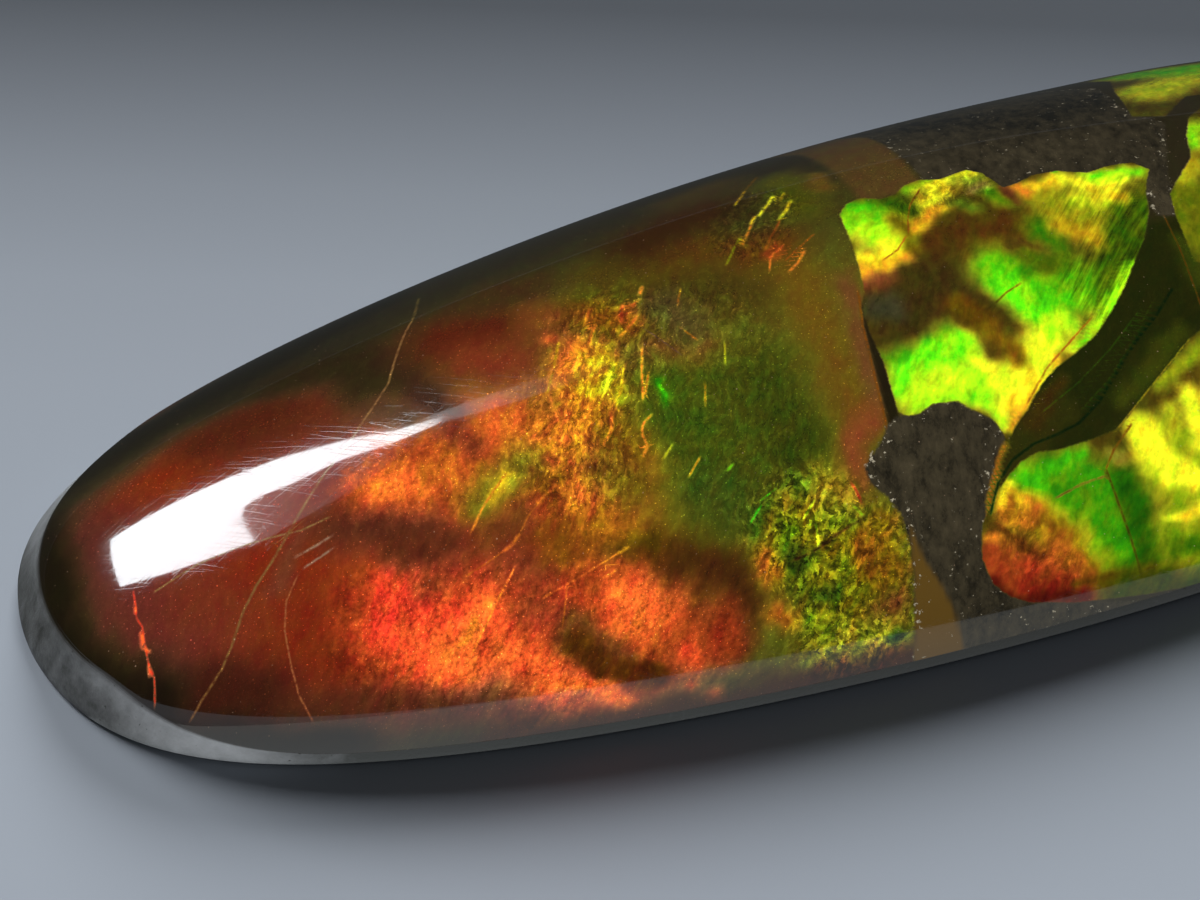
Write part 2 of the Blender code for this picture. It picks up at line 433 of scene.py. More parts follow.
# Dragon skin: green and gold scales
veil(0.46, 0.42, 1.9, (-2.9, -6.7), (-2.3, -7.4), (-2.4, -8.6), core=0.3)
veil(0.42, 0.50, 0.8, (-2.1, -5.5), (-2.0, -6.0), dull=0.03)
veil(0.36, 0.48, 0.8, (-1.1, -6.8), (-1.1, -8.0))
veil(0.26, 0.46, 0.6, (-1.6, -7.2), (-1.6, -7.8))
veil(0.24, 0.40, 0.6, (-1.7, -8.8), (-1.3, -8.7), dull=0.08)
veil(0.46, 0.55, 0.9, (-2.6, -9.2), (-1.6, -9.4), dull=0.04)
veil(0.60, 0.24, 0.5, (-3.3, -6.9), (-3.2, -7.1), dull=0.05)
veil(0.56, 0.24, 0.4, (-2.9, -8.0), (-2.6, -8.0), dull=0.05)
veil(0.27, 0.64, 0.5, (-4.0, -6.8), (-3.9, -7.2))
veil(0.27, 0.64, 0.5, (-4.0, -8.0), (-3.8, -8.3))
veil(0.66, 0.24, 0.35, (-1.4, -9.5), dull=0.12)

# Tan shell in the upper middle
tan = fenced(
    (2.6, 7.9), (1.5, 7.6), (1.0, 6.4), (1.4, 5.2), (1.45, 1.2), (3.05, 1.2), (3.15, 5.4),
    (3.3, 6.6))
fill(under, tan, 0.3, 0.33, 0.33, dull=0.22)

# The far flank: red, gold and green veils low on the slope
veil(0.12, 0.50, 1.8, (-15.0, 6.2), (-12.4, 7.4), (-10.0, 7.4), core=0.1)
veil(0.17, 0.74, 0.9, (-13.4, 7.0), (-11.8, 7.7), (-10.2, 7.4))
veil(0.26, 0.50, 1.3, (-10.0, 8.0), (-8.0, 7.4), (-6.2, 8.2))
veil(0.36, 0.66, 0.8, (-8.6, 8.0), (-7.2, 8.4), (-5.4, 7.8))
veil(0.56, 0.50, 1.5, (-5.4, 8.6), (-3.4, 7.6), (-0.8, 8.4), core=0.1)
veil(0.45, 0.72, 0.7, (-4.4, 8.2), (-3.0, 8.6), (-1.8, 8.0))
veil(0.22, 0.52, 1.1, (-0.4, 8.8), (1.0, 8.4), (2.8, 9.2))
veil(0.62, 0.46, 1.2, (5.4, 9.4), (7.2, 8.8), (9.0, 9.2))

# The rim, where the fire gives out
veil(0.22, 0.22, 0.9, (-10.6, -8.8), (-9.6, -9.1), (-8.0, -9.5), (-6.0, -9.9), (-3.0, -10.2),
     (-1.0, -10.4), dull=0.1, core=0.2)

# The dark band that winds between the bright plates
veil(0.50, 0.15, 1.6, (8.2, -2.4), (6.6, -3.6), (5.0, -4.7), (3.6, -5.4), dull=0.08, core=0.6)
veil(0.44, 0.18, 0.7, (3.6, -5.4), (2.6, -6.0), (1.8, -6.8), dull=0.1, core=0.5)
veil(0.50, 0.24, 0.45, (5.3, -5.5), (6.2, -4.9), (7.2, -4.2), dull=0.05)
veil(0.34, 0.22, 0.35, (3.0, -5.6), (3.4, -5.2), (4.0, -4.75), dull=0.05)
veil(0.52, 0.25, 0.5, (8.2, -2.0), (8.2, -3.0), dull=0.05)
veil(0.28, 0.62, 0.16, (2.2, -5.9), (1.9, -6.35), (1.5, -6.95), (1.2, -7.35))
veil(0.46, 0.16, 1.8, (13.0, -8.0), (12.4, -3.6), (12.9, 1.6), (12.4, 3.4), dull=0.1, core=0.4)
veil(0.42, 0.30, 1.4, (14.0, 6.6), (16.4, 4.6), (18.0, 0.6), (17.6, -4.0), (15.0, -7.6), dull=0.1)

# Straight joint with the upper plate: a dark strip that widens downwards
joint = fenced((0.2, -1.7), (0.0, -2.4), (-0.3, -4.95), (0.0, -4.9), (0.2, -4.0), (0.3, -1.9))
fill(under, joint, 0.14, 0.36, 0.14, dull=0.3)

# Bright plates with sharp edges. The upper one runs from the straight joint with the
# left half to the dark band, the lower one starts beyond it, and the rest lie further on.
upper_plate = fenced(
    (0.40, -1.45), (0.52, -0.9), (0.68, 0.0), (0.76, 0.7), (0.82, 1.0), (1.1, 1.3),
    (1.5, 1.4), (1.9, 1.15), (2.3, 1.2), (2.6, 1.45), (3.0, 1.55), (3.45, 1.4),
    (3.8, 1.45), (4.2, 1.55), (4.5, 1.3), (4.65, 0.9), (4.75, 0.6), (5.1, 0.65),
    (5.6, 0.85), (6.2, 0.85), (6.9, 0.6), (7.5, 0.75), (8.1, 0.75), (8.4, 0.4),
    (8.15, 0.0), (7.95, -0.4), (7.8, -0.9), (7.4, -1.6), (6.9, -2.2), (6.3, -2.9),
    (5.8, -3.4), (5.2, -3.9), (4.5, -4.25), (4.0, -4.45), (3.6, -4.7), (3.3, -4.95),
    (3.0, -5.25), (2.6, -5.55), (2.25, -5.95), (2.28, -5.7), (2.15, -5.3), (1.9, -5.05),
    (1.7, -4.9), (1.5, -4.65), (1.2, -4.6), (0.9, -4.55), (0.5, -4.7), (0.2, -4.65),
    (0.05, -4.5), (0.08, -4.0), (0.15, -3.3), (0.1, -2.6), (0.15, -2.0), (0.25, -1.7))
lower_plate = fenced(
    (9.4, -3.3), (8.4, -3.8), (7.4, -4.4), (6.5, -5.05), (5.9, -5.45), (5.3, -5.9),
    (4.9, -6.15), (4.3, -6.25), (3.5, -6.3), (2.9, -6.25), (2.5, -6.35), (2.1, -6.6),
    (1.75, -6.85), (1.45, -7.2), (1.2, -7.5), (1.08, -7.8), (0.98, -8.3), (1.1, -8.9),
    (1.4, -9.3), (1.9, -9.6), (3.0, -9.9), (4.6, -10.1), (6.4, -10.2), (8.2, -10.0),
    (10.2, -9.4), (11.2, -7.4), (11.0, -5.0), (10.4, -3.8))
far_plate = fenced(
    (8.25, -2.5), (8.35, -1.2), (8.5, -0.5), (9.05, 0.1), (9.6, 0.7), (9.85, 1.5),
    (10.3, 2.4), (11.3, 3.3), (12.6, 3.0), (13.4, 1.4), (13.2, -0.8), (13.6, -2.6),
    (12.4, -3.3), (11.2, -2.7), (10.0, -2.9), (9.0, -2.8))
end_plate = fenced(
    (12.3, -8.6), (11.9, -6.6), (12.6, -4.4), (14.1, -3.2), (13.8, -0.8), (14.0, 1.6),
    (13.5, 3.4), (14.6, 5.0), (16.4, 4.2), (17.8, 2.0), (18.4, -1.2), (18.0, -4.2),
    (16.6, -6.4), (14.6, -8.2))
back_plate = fenced(
    (9.0, 2.8), (9.4, 4.8), (9.9, 6.4), (9.4, 8.2), (11.4, 8.5), (13.4, 7.3), (15.4, 6.4),
    (14.0, 5.2), (13.0, 4.0), (12.2, 3.7), (10.8, 3.7), (9.8, 2.6))
plate_edge = np.maximum.reduce([upper_plate, lower_plate, far_plate, end_plate, back_plate])
plates = even(0.40, 0.27, 0.05)


def gild(*stroke, **manner):
    """A stroke of the bright plates' own paint."""
    lay(plates, *stroke, **manner)


# Dark brown middle of the upper plate
gild(0.36, 0.22, 2.1, (1.0, -2.0), (2.3, -2.0), dull=0.12, core=0.1)
gild(0.44, 0.25, 0.6, (0.5, -2.0), (0.9, -2.05), dull=0.6)
gild(0.31, 0.29, 1.1, (2.5, -0.5), (3.6, -0.6), (4.5, -0.7), dull=0.04)
gild(0.29, 0.29, 0.6, (4.1, -0.8), (4.7, -1.1), dull=0.04)
gild(0.20, 0.46, 0.5, (0.4, -1.25), (1.0, -1.25), dull=0.1)
# Green and yellow corner
gild(0.60, 0.33, 0.8, (1.9, 0.9), (2.2, 0.6))
gild(0.66, 0.66, 0.75, (1.0, 1.0), (1.4, 1.0))
gild(0.61, 0.86, 0.85, (1.0, 0.6), (1.5, 0.3), (1.7, -0.1), core=0.2)
gild(0.55, 1.02, 0.65, (1.0, 0.1), (1.5, -0.1))
gild(0.43, 1.0, 0.50, (0.7, -0.6), (1.2, -0.65), (1.6, -0.5))
gild(0.34, 0.92, 0.34, (0.6, -0.9), (1.2, -0.9), (1.7, -0.8))
gild(0.40, 0.42, 0.40, (1.95, 0.3), (2.05, -0.2), (1.95, -0.6))
# Yellow ridge
gild(0.58, 0.72, 0.45, (2.7, 1.3), (3.2, 1.35))
gild(0.44, 0.98, 0.50, (2.8, 0.65), (3.2, 0.95), (3.45, 1.1))
gild(0.42, 0.92, 0.30, (3.3, 1.15), (3.6, 1.15))
gild(0.32, 0.92, 0.34, (2.3, -0.05), (2.75, 0.25), (3.15, 0.35))
# Green and olive right of the ridge
gild(0.52, 0.62, 0.6, (4.0, 1.2), (4.3, 1.1), dull=0.05)
gild(0.47, 0.88, 0.30, (3.85, 1.35), (4.2, 1.4))
gild(0.36, 0.55, 0.35, (4.0, 0.75), (4.35, 0.8), dull=0.25)
gild(0.60, 0.52, 0.45, (4.4, 0.55), (4.5, 0.15))
gild(0.56, 0.46, 0.35, (3.6, 0.45), (3.75, 0.15), dull=0.05)
gild(0.24, 0.36, 0.25, (4.8, 0.6), (4.85, 0.0), dull=0.1)
# Gold, olive and dark green on the far right, combed by fine streaks
gild(0.46, 0.58, 1.1, (5.7, -0.3), (6.2, -0.7), (6.7, -0.4), core=0.2)
gild(0.58, 0.34, 1.0, (5.9, -2.9), (6.7, -1.9), (7.6, -0.9), core=0.3)
gild(0.48, 0.82, 0.5, (6.3, -0.2), (6.9, -0.4))
gild(0.64, 0.46, 0.7, (5.0, -0.9), (5.1, -1.8), (5.3, -2.6))
gild(0.36, 0.66, 0.6, (5.6, -1.0), (6.1, -1.4))
gild(0.60, 0.50, 0.5, (5.2, -2.5), (5.4, -2.9), strength=0.7)
gild(0.40, 0.82, 0.45, (6.9, -0.25), (7.3, -0.4))
gild(0.47, 1.02, 0.32, (7.1, 0.22), (7.7, 0.12))
gild(0.24, 0.92, 0.35, (5.1, 0.55), (5.2, 0.25))
gild(0.37, 0.98, 0.42, (5.5, 0.45), (6.0, 0.5))
gild(0.42, 1.00, 0.45, (6.2, 0.5), (6.7, 0.2), (7.2, 0.0))
gild(0.62, 0.98, 0.42, (6.9, 0.5), (7.7, 0.5), (8.1, 0.3))
gild(0.52, 1.02, 0.25, (7.0, 0.25), (7.6, 0.35))
gild(0.68, 0.80, 0.18, (6.2, 0.8))
# Green in the middle of the plate
gild(0.62, 0.58, 1.1, (3.6, -1.7), (4.2, -2.4), (5.2, -2.6), core=0.2)
gild(0.66, 0.86, 0.60, (3.5, -1.6), (3.6, -2.3))
gild(0.66, 1.00, 0.75, (3.9, -2.6), (4.3, -3.2), core=0.2)
gild(0.60, 1.02, 0.40, (4.3, -3.3), (4.6, -3.4))
gild(0.30, 0.30, 0.45, (4.3, -1.2), (4.8, -1.6), dull=0.08)
gild(0.64, 0.78, 0.7, (4.4, -2.6), (5.0, -3.0))
gild(0.56, 0.38, 0.5, (4.5, -1.6), (4.9, -1.9))
# Left flame of green, yellow at its heart
gild(0.66, 0.62, 0.55, (0.35, -3.3), (1.2, -3.3), (1.8, -3.0))
gild(0.64, 0.96, 0.65, (0.5, -3.8), (1.6, -3.5), (2.1, -3.4), core=0.3)
gild(0.60, 1.0, 0.85, (0.6, -4.2), (1.6, -4.2), (2.2, -4.4), core=0.3)
gild(0.52, 1.0, 0.40, (0.9, -4.15), (1.4, -4.05), (1.7, -4.2))
gild(0.48, 1.03, 0.35, (2.3, -3.7), (2.6, -4.2))
gild(0.60, 1.02, 0.30, (1.9, -4.7), (2.25, -5.0), (2.35, -5.4))
# Yellow towards the dark band, with a brown wedge between the flames
gild(0.49, 0.98, 0.80, (2.9, -4.7), (3.5, -4.1), (4.1, -3.8), core=0.2)
gild(0.40, 1.00, 0.45, (2.5, -5.1), (2.9, -4.9), (3.4, -4.6))
gild(0.58, 1.02, 0.38, (4.2, -3.5), (4.6, -3.5))
gild(0.34, 0.95, 0.16, (2.5, -5.55), (3.1, -5.05), (3.6, -4.65), (4.2, -4.3))
gild(0.32, 0.34, 0.60, (2.3, -2.4), (2.75, -3.0), core=0.2)
gild(0.34, 0.44, 0.40, (2.8, -3.2), (3.1, -3.7), (3.2, -4.1))
gild(0.60, 0.95, 0.28, (4.6, -4.05), (5.3, -3.65), (6.0, -3.05), (6.8, -2.35))

# Lower plate: green, with red and orange at its left corner
gild(0.65, 0.58, 1.4, (2.9, -7.2), (3.9, -7.6), (4.1, -8.6), core=0.4)
gild(0.68, 0.76, 0.45, (2.5, -6.6), (2.7, -7.0))
gild(0.67, 0.72, 0.40, (3.2, -6.65), (4.0, -6.5))
gild(0.58, 0.66, 0.40, (3.5, -8.2), (3.9, -8.9))
gild(0.66, 0.36, 0.55, (4.8, -7.4), (4.9, -8.2), (4.95, -9.2), core=0.3)
gild(0.44, 0.52, 0.30, (4.6, -6.6), (4.8, -6.9), dull=0.1)
gild(0.28, 0.74, 0.75, (2.0, -7.4), (2.4, -7.6), core=0.3)
gild(0.39, 1.00, 0.20, (1.75, -7.15), (1.95, -6.95), (2.15, -6.75))
gild(0.34, 0.92, 0.18, (2.15, -7.0), (2.35, -7.3))
gild(0.30, 0.58, 0.7, (2.6, -8.0), (3.2, -8.3))
gild(0.20, 0.56, 1.1, (1.4, -8.6), (2.2, -9.2), (3.2, -9.5))
gild(0.15, 0.62, 0.9, (1.2, -8.4), (1.7, -8.8), (2.5, -9.0), core=0.2)
gild(0.22, 0.70, 0.6, (2.7, -8.6), (3.2, -8.9))
gild(0.10, 0.52, 0.6, (2.0, -9.2), (2.7, -9.4))
gild(0.28, 0.90, 0.18, (1.2, -7.9), (1.45, -7.95))
gild(0.22, 0.40, 0.13, (1.5, -7.65), (1.85, -8.05), (2.2, -8.45), strength=0.8)
gild(0.30, 0.36, 0.25, (3.0, -9.4), (3.9, -9.5), (5.2, -9.5), (6.2, -9.6))
gild(0.50, 0.27, 0.9, (4.2, -9.9), (6.0, -9.9), (8.0, -9.7), core=0.2)
gild(0.10, 0.32, 0.35, (1.1, -9.0), (1.6, -9.5), (3.2, -9.8))
# Bright yellow on the right
gild(0.50, 0.62, 1.3, (6.0, -7.0), (6.3, -8.0), (6.1, -8.8), core=0.4)
gild(0.45, 1.0, 0.62, (5.5, -6.3), (5.6, -6.9), (5.9, -7.2), core=0.3)
gild(0.45, 0.98, 0.45, (6.1, -7.3), (6.4, -7.5), core=0.2)
gild(0.46, 0.98, 0.55, (6.9, -5.8), (6.9, -6.8), core=0.2)
gild(0.45, 1.04, 0.5, (5.9, -7.5), (6.4, -7.7))
gild(0.47, 0.72, 0.35, (6.3, -5.9), (6.3, -6.5))
gild(0.50, 0.60, 0.40, (6.3, -5.3), (6.9, -5.0), (7.6, -4.6))
gild(0.43, 1.02, 0.22, (5.6, -8.4), (5.9, -8.45), (6.5, -8.3))
gild(0.60, 0.42, 0.40, (5.6, -9.1), (6.2, -9.2))
# Further right: gold, green and ember
gild(0.44, 0.92, 1.0, (7.8, -6.0), (7.7, -7.4))
gild(0.64, 0.70, 1.4, (9.0, -5.4), (8.9, -7.0))
gild(0.55, 0.78, 1.0, (8.2, -8.6), (7.4, -9.2))
gild(0.24, 0.82, 1.1, (10.2, -5.0), (10.3, -6.6))
gild(0.12, 0.66, 1.1, (10.0, -8.0), (9.4, -9.0))
gild(0.50, 0.42, 1.2, (8.7, -0.6), (8.9, -1.8), core=0.3)
gild(0.46, 0.72, 0.55, (9.1, 0.0), (9.5, 0.5))
gild(0.60, 0.92, 0.65, (9.8, 1.2), (10.3, 1.9))
gild(0.40, 0.88, 0.9, (10.3, 0.2), (11.2, 1.6))
gild(0.66, 0.72, 1.4, (10.4, -1.6), (11.6, -0.4), (12.6, -2.2), core=0.2)
gild(0.28, 0.80, 1.0, (12.2, 1.8), (12.4, 0.4))
gild(0.60, 0.62, 1.4, (13.4, -6.8), (14.0, -5.2), core=0.3)
gild(0.36, 0.88, 1.2, (15.0, -5.4), (15.4, -3.8), core=0.2)
gild(0.64, 0.80, 1.6, (15.0, -1.6), (14.8, 1.4), core=0.3)
gild(0.45, 0.95, 0.9, (16.0, -0.6), (15.7, 1.6))
gild(0.20, 0.76, 1.4, (17.2, -3.4), (17.6, -0.8), core=0.2)
gild(0.30, 0.70, 1.2, (14.8, 3.6), (16.2, 2.8), core=0.2)
gild(0.48, 0.72, 1.2, (10.0, 4.4), (11.4, 5.2), core=0.2)
gild(0.62, 0.74, 1.5, (10.8, 7.0), (12.2, 6.4), core=0.3)
gild(0.24, 0.70, 1.1, (13.0, 5.6), (14.2, 6.0), core=0.2)

# Bare matrix: the patch at the front, and the grey shell over the upper plate. Its tone
# runs from dark at 0 to pale at 1, and the patch is a warm brown along its left edge.
patch = fenced(
    (-0.55, -5.05), (-0.3, -4.75), (0.0, -4.6), (0.5, -4.6), (1.3, -4.5), (1.9, -4.9),
    (2.3, -5.3), (2.3, -5.75), (2.08, -5.95), (1.85, -6.3), (1.62, -6.65), (1.4, -7.0),
    (1.35, -7.3), (1.2, -7.75), (1.15, -8.2), (1.25, -8.7), (1.5, -9.2), (2.6, -9.7),
    (4.6, -10.3), (-1.1, -10.6), (-0.85, -9.0), (-0.66, -8.1), (-0.6, -7.4),
    (-0.62, -6.8), (-0.8, -6.3), (-1.1, -5.9), (-1.12, -5.55), (-0.9, -5.3))
grey_shell = fenced(
    (5.0, 8.6), (3.6, 7.9), (2.7, 6.6), (3.1, 5.2), (3.15, 1.2), (4.6, 0.3), (7.4, 0.3),
    (7.95, -0.3), (7.9, -1.1), (8.5, -1.2), (8.7, 0.0), (9.6, 2.2), (9.0, 3.4), (9.2, 5.6),
    (8.4, 6.8), (7.6, 8.4))
bare_edge = np.maximum(patch, grey_shell)
tone_and_rim_shade = np.full(len(skin), 0.36)
dab(tone_and_rim_shade, 0.52, 0.9, (3.5, 1.8), (3.6, 3.2))
dab(tone_and_rim_shade, 0.50, 0.9, (5.4, 1.6), (7.4, 1.8))
dab(tone_and_rim_shade, 0.12, 1.6, (4.4, 5.2), (6.6, 3.6), (8.6, 4.4))
dab(tone_and_rim_shade, 0.55, 0.7, (8.1, -0.4), (8.2, -0.9))
dab(tone_and_rim_shade, 0.42, 1.4, (0.2, -6.0), (0.6, -6.8))
dab(tone_and_rim_shade, 0.30, 0.9, (0.9, -8.8), (1.2, -9.8))
dab(tone_and_rim_shade, 0.0, 0.30, (-0.85, -5.55), (-0.8, -5.85))
dab(tone_and_rim_shade, 0.05, 0.16, (-0.75, -6.8), (-0.7, -7.5))

warm_edge = fenced(
    (-0.48, -7.1), (-0.36, -7.9), (-0.1, -8.6), (0.06, -9.2), (0.2, -10.4),
    (-1.1, -10.6), (-0.85, -9.0), (-0.66, -8.1), (-0.58, -7.5))
warm = inside(warm_edge, 0.12)

# Textures: foil is a crinkled web of light, scales is broken up like lizard skin, comb
# has fine parallel streaks, spongy has soft pits, and crumbled is a broken part of a plate.
foil, scales, comb, spongy, crumbled = even(0.10, 0.0, 0.0, 0.08, 0.0)
dab(foil, 0.30, 2.2, (-12.0, -5.5), (-8.0, -7.4), core=0.5)
dab(foil, 0.28, 1.6, (-11.5, -1.8), (-8.2, -2.2), core=0.5)
dab(foil, 0.45, 2.4, (-3.8, -1.4), (-3.6, -4.2), core=0.5)
dab(foil, 0.8, 2.0, (-7.4, -3.4), (-6.6, -2.0), (-5.4, -0.2), core=0.2)
dab(foil, 0.5, 1.2, (-1.4, 1.2), (-0.6, 2.2), core=0.5)
dab(foil, 0.7, 2.0, (-14.0, 7.0), (-8.0, 8.0), (-2.0, 8.2), (3.0, 9.0), core=0.5)
dab(scales, 1.0, 1.9, (-2.8, -6.5), (-2.2, -7.6), (-2.3, -8.8), core=0.5)
dab(scales, 0.7, 0.9, (-1.2, -7.0), (-1.2, -8.6), core=0.6)
dab(comb, 1.0, 1.2, (5.8, -2.7), (6.7, -1.7), (7.6, -0.7), core=0.5)
dab(comb, 0.6, 0.8, (5.6, -0.6), (6.6, 0.0), core=0.3)
dab(spongy, 0.6, 3.2, (-9.6, -4.2), (-6.8, -4.8), core=0.4)
dab(spongy, 1.0, 2.3, (-12.4, -5.0), (-11.2, -5.8), (-9.4, -7.2), core=0.5)
dab(spongy, 1.0, 2.0, (-7.4, -6.2), (-6.6, -7.2), (-5.4, -8.2), core=0.5)
dab(spongy, 0.7, 1.8, (-11.6, -1.8), (-9.4, -2.4), (-7.6, -2.6), core=0.4)
dab(crumbled, 0.5, 1.2, (1.8, -7.6), (2.2, -8.4), (2.8, -8.9))
dab(crumbled, 0.5, 0.8, (2.4, 0.6), (3.4, 0.9), (4.2, 0.9), core=0.3)

# Lines: cracks, seams and single glints. Each is kept as a signed offset from the line,
# its half-width, its strength and its paint; a point belongs to the nearest line.
LINE_REACH = 0.22
LINE_BLUR = 0.06
LINE_END = 0.12
FAR_OFF = 9.0
line = even(FAR_OFF, 0.01, 0.0)
line_paint = even(ORANGE, 0.5, 0.0)
nearest = line[0].copy()


def score(hue, light, width, *path, dull=0.0, strength=1.0):
    """Lays a thin line of paint: its offset is the cross product with its direction."""
    path = np.array(path)
    for step, (start, end) in enumerate(zip(path[:-1], path[1:])):
        length = math.dist(start, end)
        ahead = (end - start) / length
        away = skin - start
        along = away @ ahead
        offset = ahead[0] * away[:, 1] - ahead[1] * away[:, 0]
        beyond = np.maximum(-along, along - length)
        apart = np.hypot(offset, np.maximum(beyond, 0.0))
        open_end = np.where(along < 0.5 * length, step == 0, step == len(path) - 2)
        fade = np.where(open_end, ease(1.0 - np.maximum(beyond, 0.0) / LINE_END), 1.0)
        closer = apart < nearest
        nearest[closer] = apart[closer]
        near = ease((LINE_REACH - np.abs(offset)) / LINE_BLUR)
        values = (offset, width, strength * fade * near, hue, light, dull)
        for field, value in zip((*line, *line_paint), values):
            np.copyto(field, value, where=closer)


# Flame-coloured crack: a thin line with jagged, brighter stretches
score(0.07, 0.80, 0.026, (-17.45, -1.35), (-17.5, -1.6), (-17.6, -1.95), (-17.56, -2.2),
      (-17.64, -2.6), (-17.70, -3.0), (-17.68, -3.4), (-17.8, -3.9))
score(0.11, 1.02, 0.050, (-17.50, -1.60), (-17.58, -1.85))
score(0.14, 1.05, 0.065, (-17.60, -2.30), (-17.68, -2.62), (-17.64, -2.80))
score(0.10, 1.02, 0.050, (-17.70, -3.05), (-17.74, -3.30))
# The long fissure, the arcs beside it and the groove at its right, with two pale lines there
# that are painted highlights where scratches catch the light
score(0.30, 0.46, 0.034, (-17.15, -4.75), (-16.9, -4.5), (-16.3, -4.1), (-15.9, -3.7),
      (-15.5, -3.2), (-15.0, -2.75), (-14.5, -2.4), (-14.0, -2.0), (-13.3, -1.4), dull=0.22)
score(0.30, 0.52, 0.030, (-13.3, -1.4), (-12.6, -0.85), (-11.8, -0.35), (-11.4, 0.0),
      (-10.9, 0.4), (-10.4, 0.85), (-10.0, 1.5), (-9.5, 2.3), (-9.0, 3.0), dull=0.3)
score(0.36, 0.36, 0.040, (-9.0, 3.0), (-8.7, 3.6), (-8.5, 4.1), dull=0.3)
score(0.22, 0.56, 0.024, (-14.1, -3.0), (-14.5, -3.4), (-14.75, -4.0), (-14.85, -4.8),
      (-14.85, -5.5), (-14.7, -6.1), dull=0.15)
score(0.32, 0.50, 0.028, (-17.0, -1.62), (-16.0, -1.55), (-15.0, -1.65), (-14.3, -1.80),
      (-13.6, -1.98), (-13.0, -1.98), dull=0.3)
# Two pale lines: painted highlights, light caught in scratches of the polish
score(0.26, 0.66, 0.035, (-13.9, -2.52), (-13.5, -2.50), (-13.1, -2.44), dull=0.8, strength=0.7)
score(0.26, 0.62, 0.030, (-13.2, -2.74), (-13.5, -2.80), (-13.8, -2.85), dull=0.8, strength=0.7)
# Glints among the red clouds
score(0.26, 0.85, 0.035, (-10.1, -3.7), (-9.7, -3.3), (-9.0, -2.8))
score(0.20, 0.62, 0.022, (-10.5, -4.6), (-9.9, -4.5), (-9.6, -4.42))
score(0.22, 0.80, 0.045, (-9.6, -4.42), (-9.35, -4.36), (-9.1, -4.18))
score(0.22, 0.60, 0.024, (-9.1, -4.18), (-8.8, -3.9), (-8.5, -3.7))
score(0.24, 0.84, 0.042, (-8.5, -3.7), (-8.25, -3.58), (-8.0, -3.5))
score(0.22, 1.05, 0.030, (-9.5, -4.9), (-10.0, -5.35), (-10.9, -6.25))
score(0.20, 0.84, 0.030, (-9.0, -5.75), (-8.2, -5.65), (-7.6, -5.54))
score(0.24, 0.88, 0.022, (-7.6, -5.54), (-7.2, -5.47))
score(0.31, 0.95, 0.042, (-7.15, -5.46), (-6.95, -5.42))
score(0.22, 0.85, 0.035, (-7.6, -5.85), (-7.3, -5.8))
score(0.22, 0.70, 0.025, (-8.5, -5.8), (-8.8, -6.5))
# Crumples
score(0.24, 0.92, 0.035, (-5.4, -2.75), (-5.6, -2.85), (-5.72, -3.05), (-5.7, -3.35))
score(0.26, 0.90, 0.040, (-5.85, -3.55), (-5.7, -3.4))
score(0.20, 0.85, 0.050, (-5.05, -0.1), (-4.87, 0.3))
score(0.20, 0.85, 0.045, (-5.2, -0.5), (-4.75, -0.2))
score(0.22, 0.90, 0.060, (-4.65, 0.2), (-4.5, 0.3))
score(0.22, 0.90, 0.050, (-4.35, 0.5), (-4.25, 0.65))
score(0.28, 0.85, 0.035, (-5.3, -2.2), (-5.05, -1.75))
score(0.68, 0.78, 0.050, (-4.92, -2.1), (-4.88, -2.4))
score(0.66, 0.85, 0.040, (-4.15, -4.55), (-4.05, -4.5))
score(0.46, 0.75, 0.035, (-5.4, -3.75), (-5.2, -3.6))
score(0.30, 0.75, 0.030, (-5.0, -4.35), (-4.7, -4.1))
score(0.28, 0.60, 0.030, (-3.9, -0.9), (-3.7, -1.3))
score(0.30, 0.40, 0.020, (-4.65, -0.6), (-4.2, -1.5), dull=0.4)
score(0.68, 0.80, 0.030, (-4.0, -5.85), (-3.85, -5.7), (-3.7, -5.6))
score(0.64, 0.60, 0.022, (-3.6, -5.45), (-3.3, -5.35))
score(0.60, 0.88, 0.035, (-2.8, -6.15), (-2.5, -5.9))
score(0.60, 0.85, 0.035, (-2.65, -6.8), (-2.6, -6.45))
score(0.58, 0.85, 0.035, (-1.6, -6.3), (-1.5, -6.5))
score(0.30, 0.18, 0.040, (-3.3, -7.0), (-2.8, -6.95), (-2.0, -6.7), (-1.5, -6.6), dull=0.1, strength=0.7)
score(0.14, 0.72, 0.040, (-1.5, -5.8), (-1.42, -6.2))
# Gold dashes on the upper slope
score(0.40, 0.95, 0.050, (-1.15, 1.6), (-0.98, 1.82))
score(0.27, 0.80, 0.040, (-1.6, 0.98), (-1.2, 1.5))
score(0.42, 0.92, 0.055, (-0.85, 1.85), (-0.5, 2.2), (-0.25, 2.5))
score(0.42, 0.85, 0.050, (0.0, 2.05), (-0.2, 1.75), (-0.5, 1.45))
score(0.38, 0.60, 0.040, (-0.15, 2.25), (0.02, 2.5))
score(0.35, 0.58, 0.045, (-1.1, 2.7), (-0.85, 3.0), (-0.65, 3.3))
score(0.33, 0.34, 0.040, (-0.6, 3.35), (-0.1, 4.0))
score(0.46, 0.45, 0.035, (-2.2, 0.5), (-1.6, 1.2))
score(0.20, 0.48, 0.035, (-1.2, 0.6), (-0.5, 1.4))
score(0.17, 0.75, 0.030, (-1.25, 0.25), (-0.85, 0.48))
score(0.24, 0.50, 0.030, (-0.9, 0.05), (-0.05, 0.55))
score(0.20, 0.85, 0.030, (-1.38, -0.08), (-1.25, 0.2), (-1.1, 0.36), (-0.9, 0.42))
score(0.24, 0.85, 0.040, (-0.95, -0.3), (-0.75, -0.18), (-0.45, 0.1))
score(0.26, 0.42, 0.035, (0.25, -1.45), (0.02, -2.3), (-0.18, -3.6), (-0.32, -4.8))
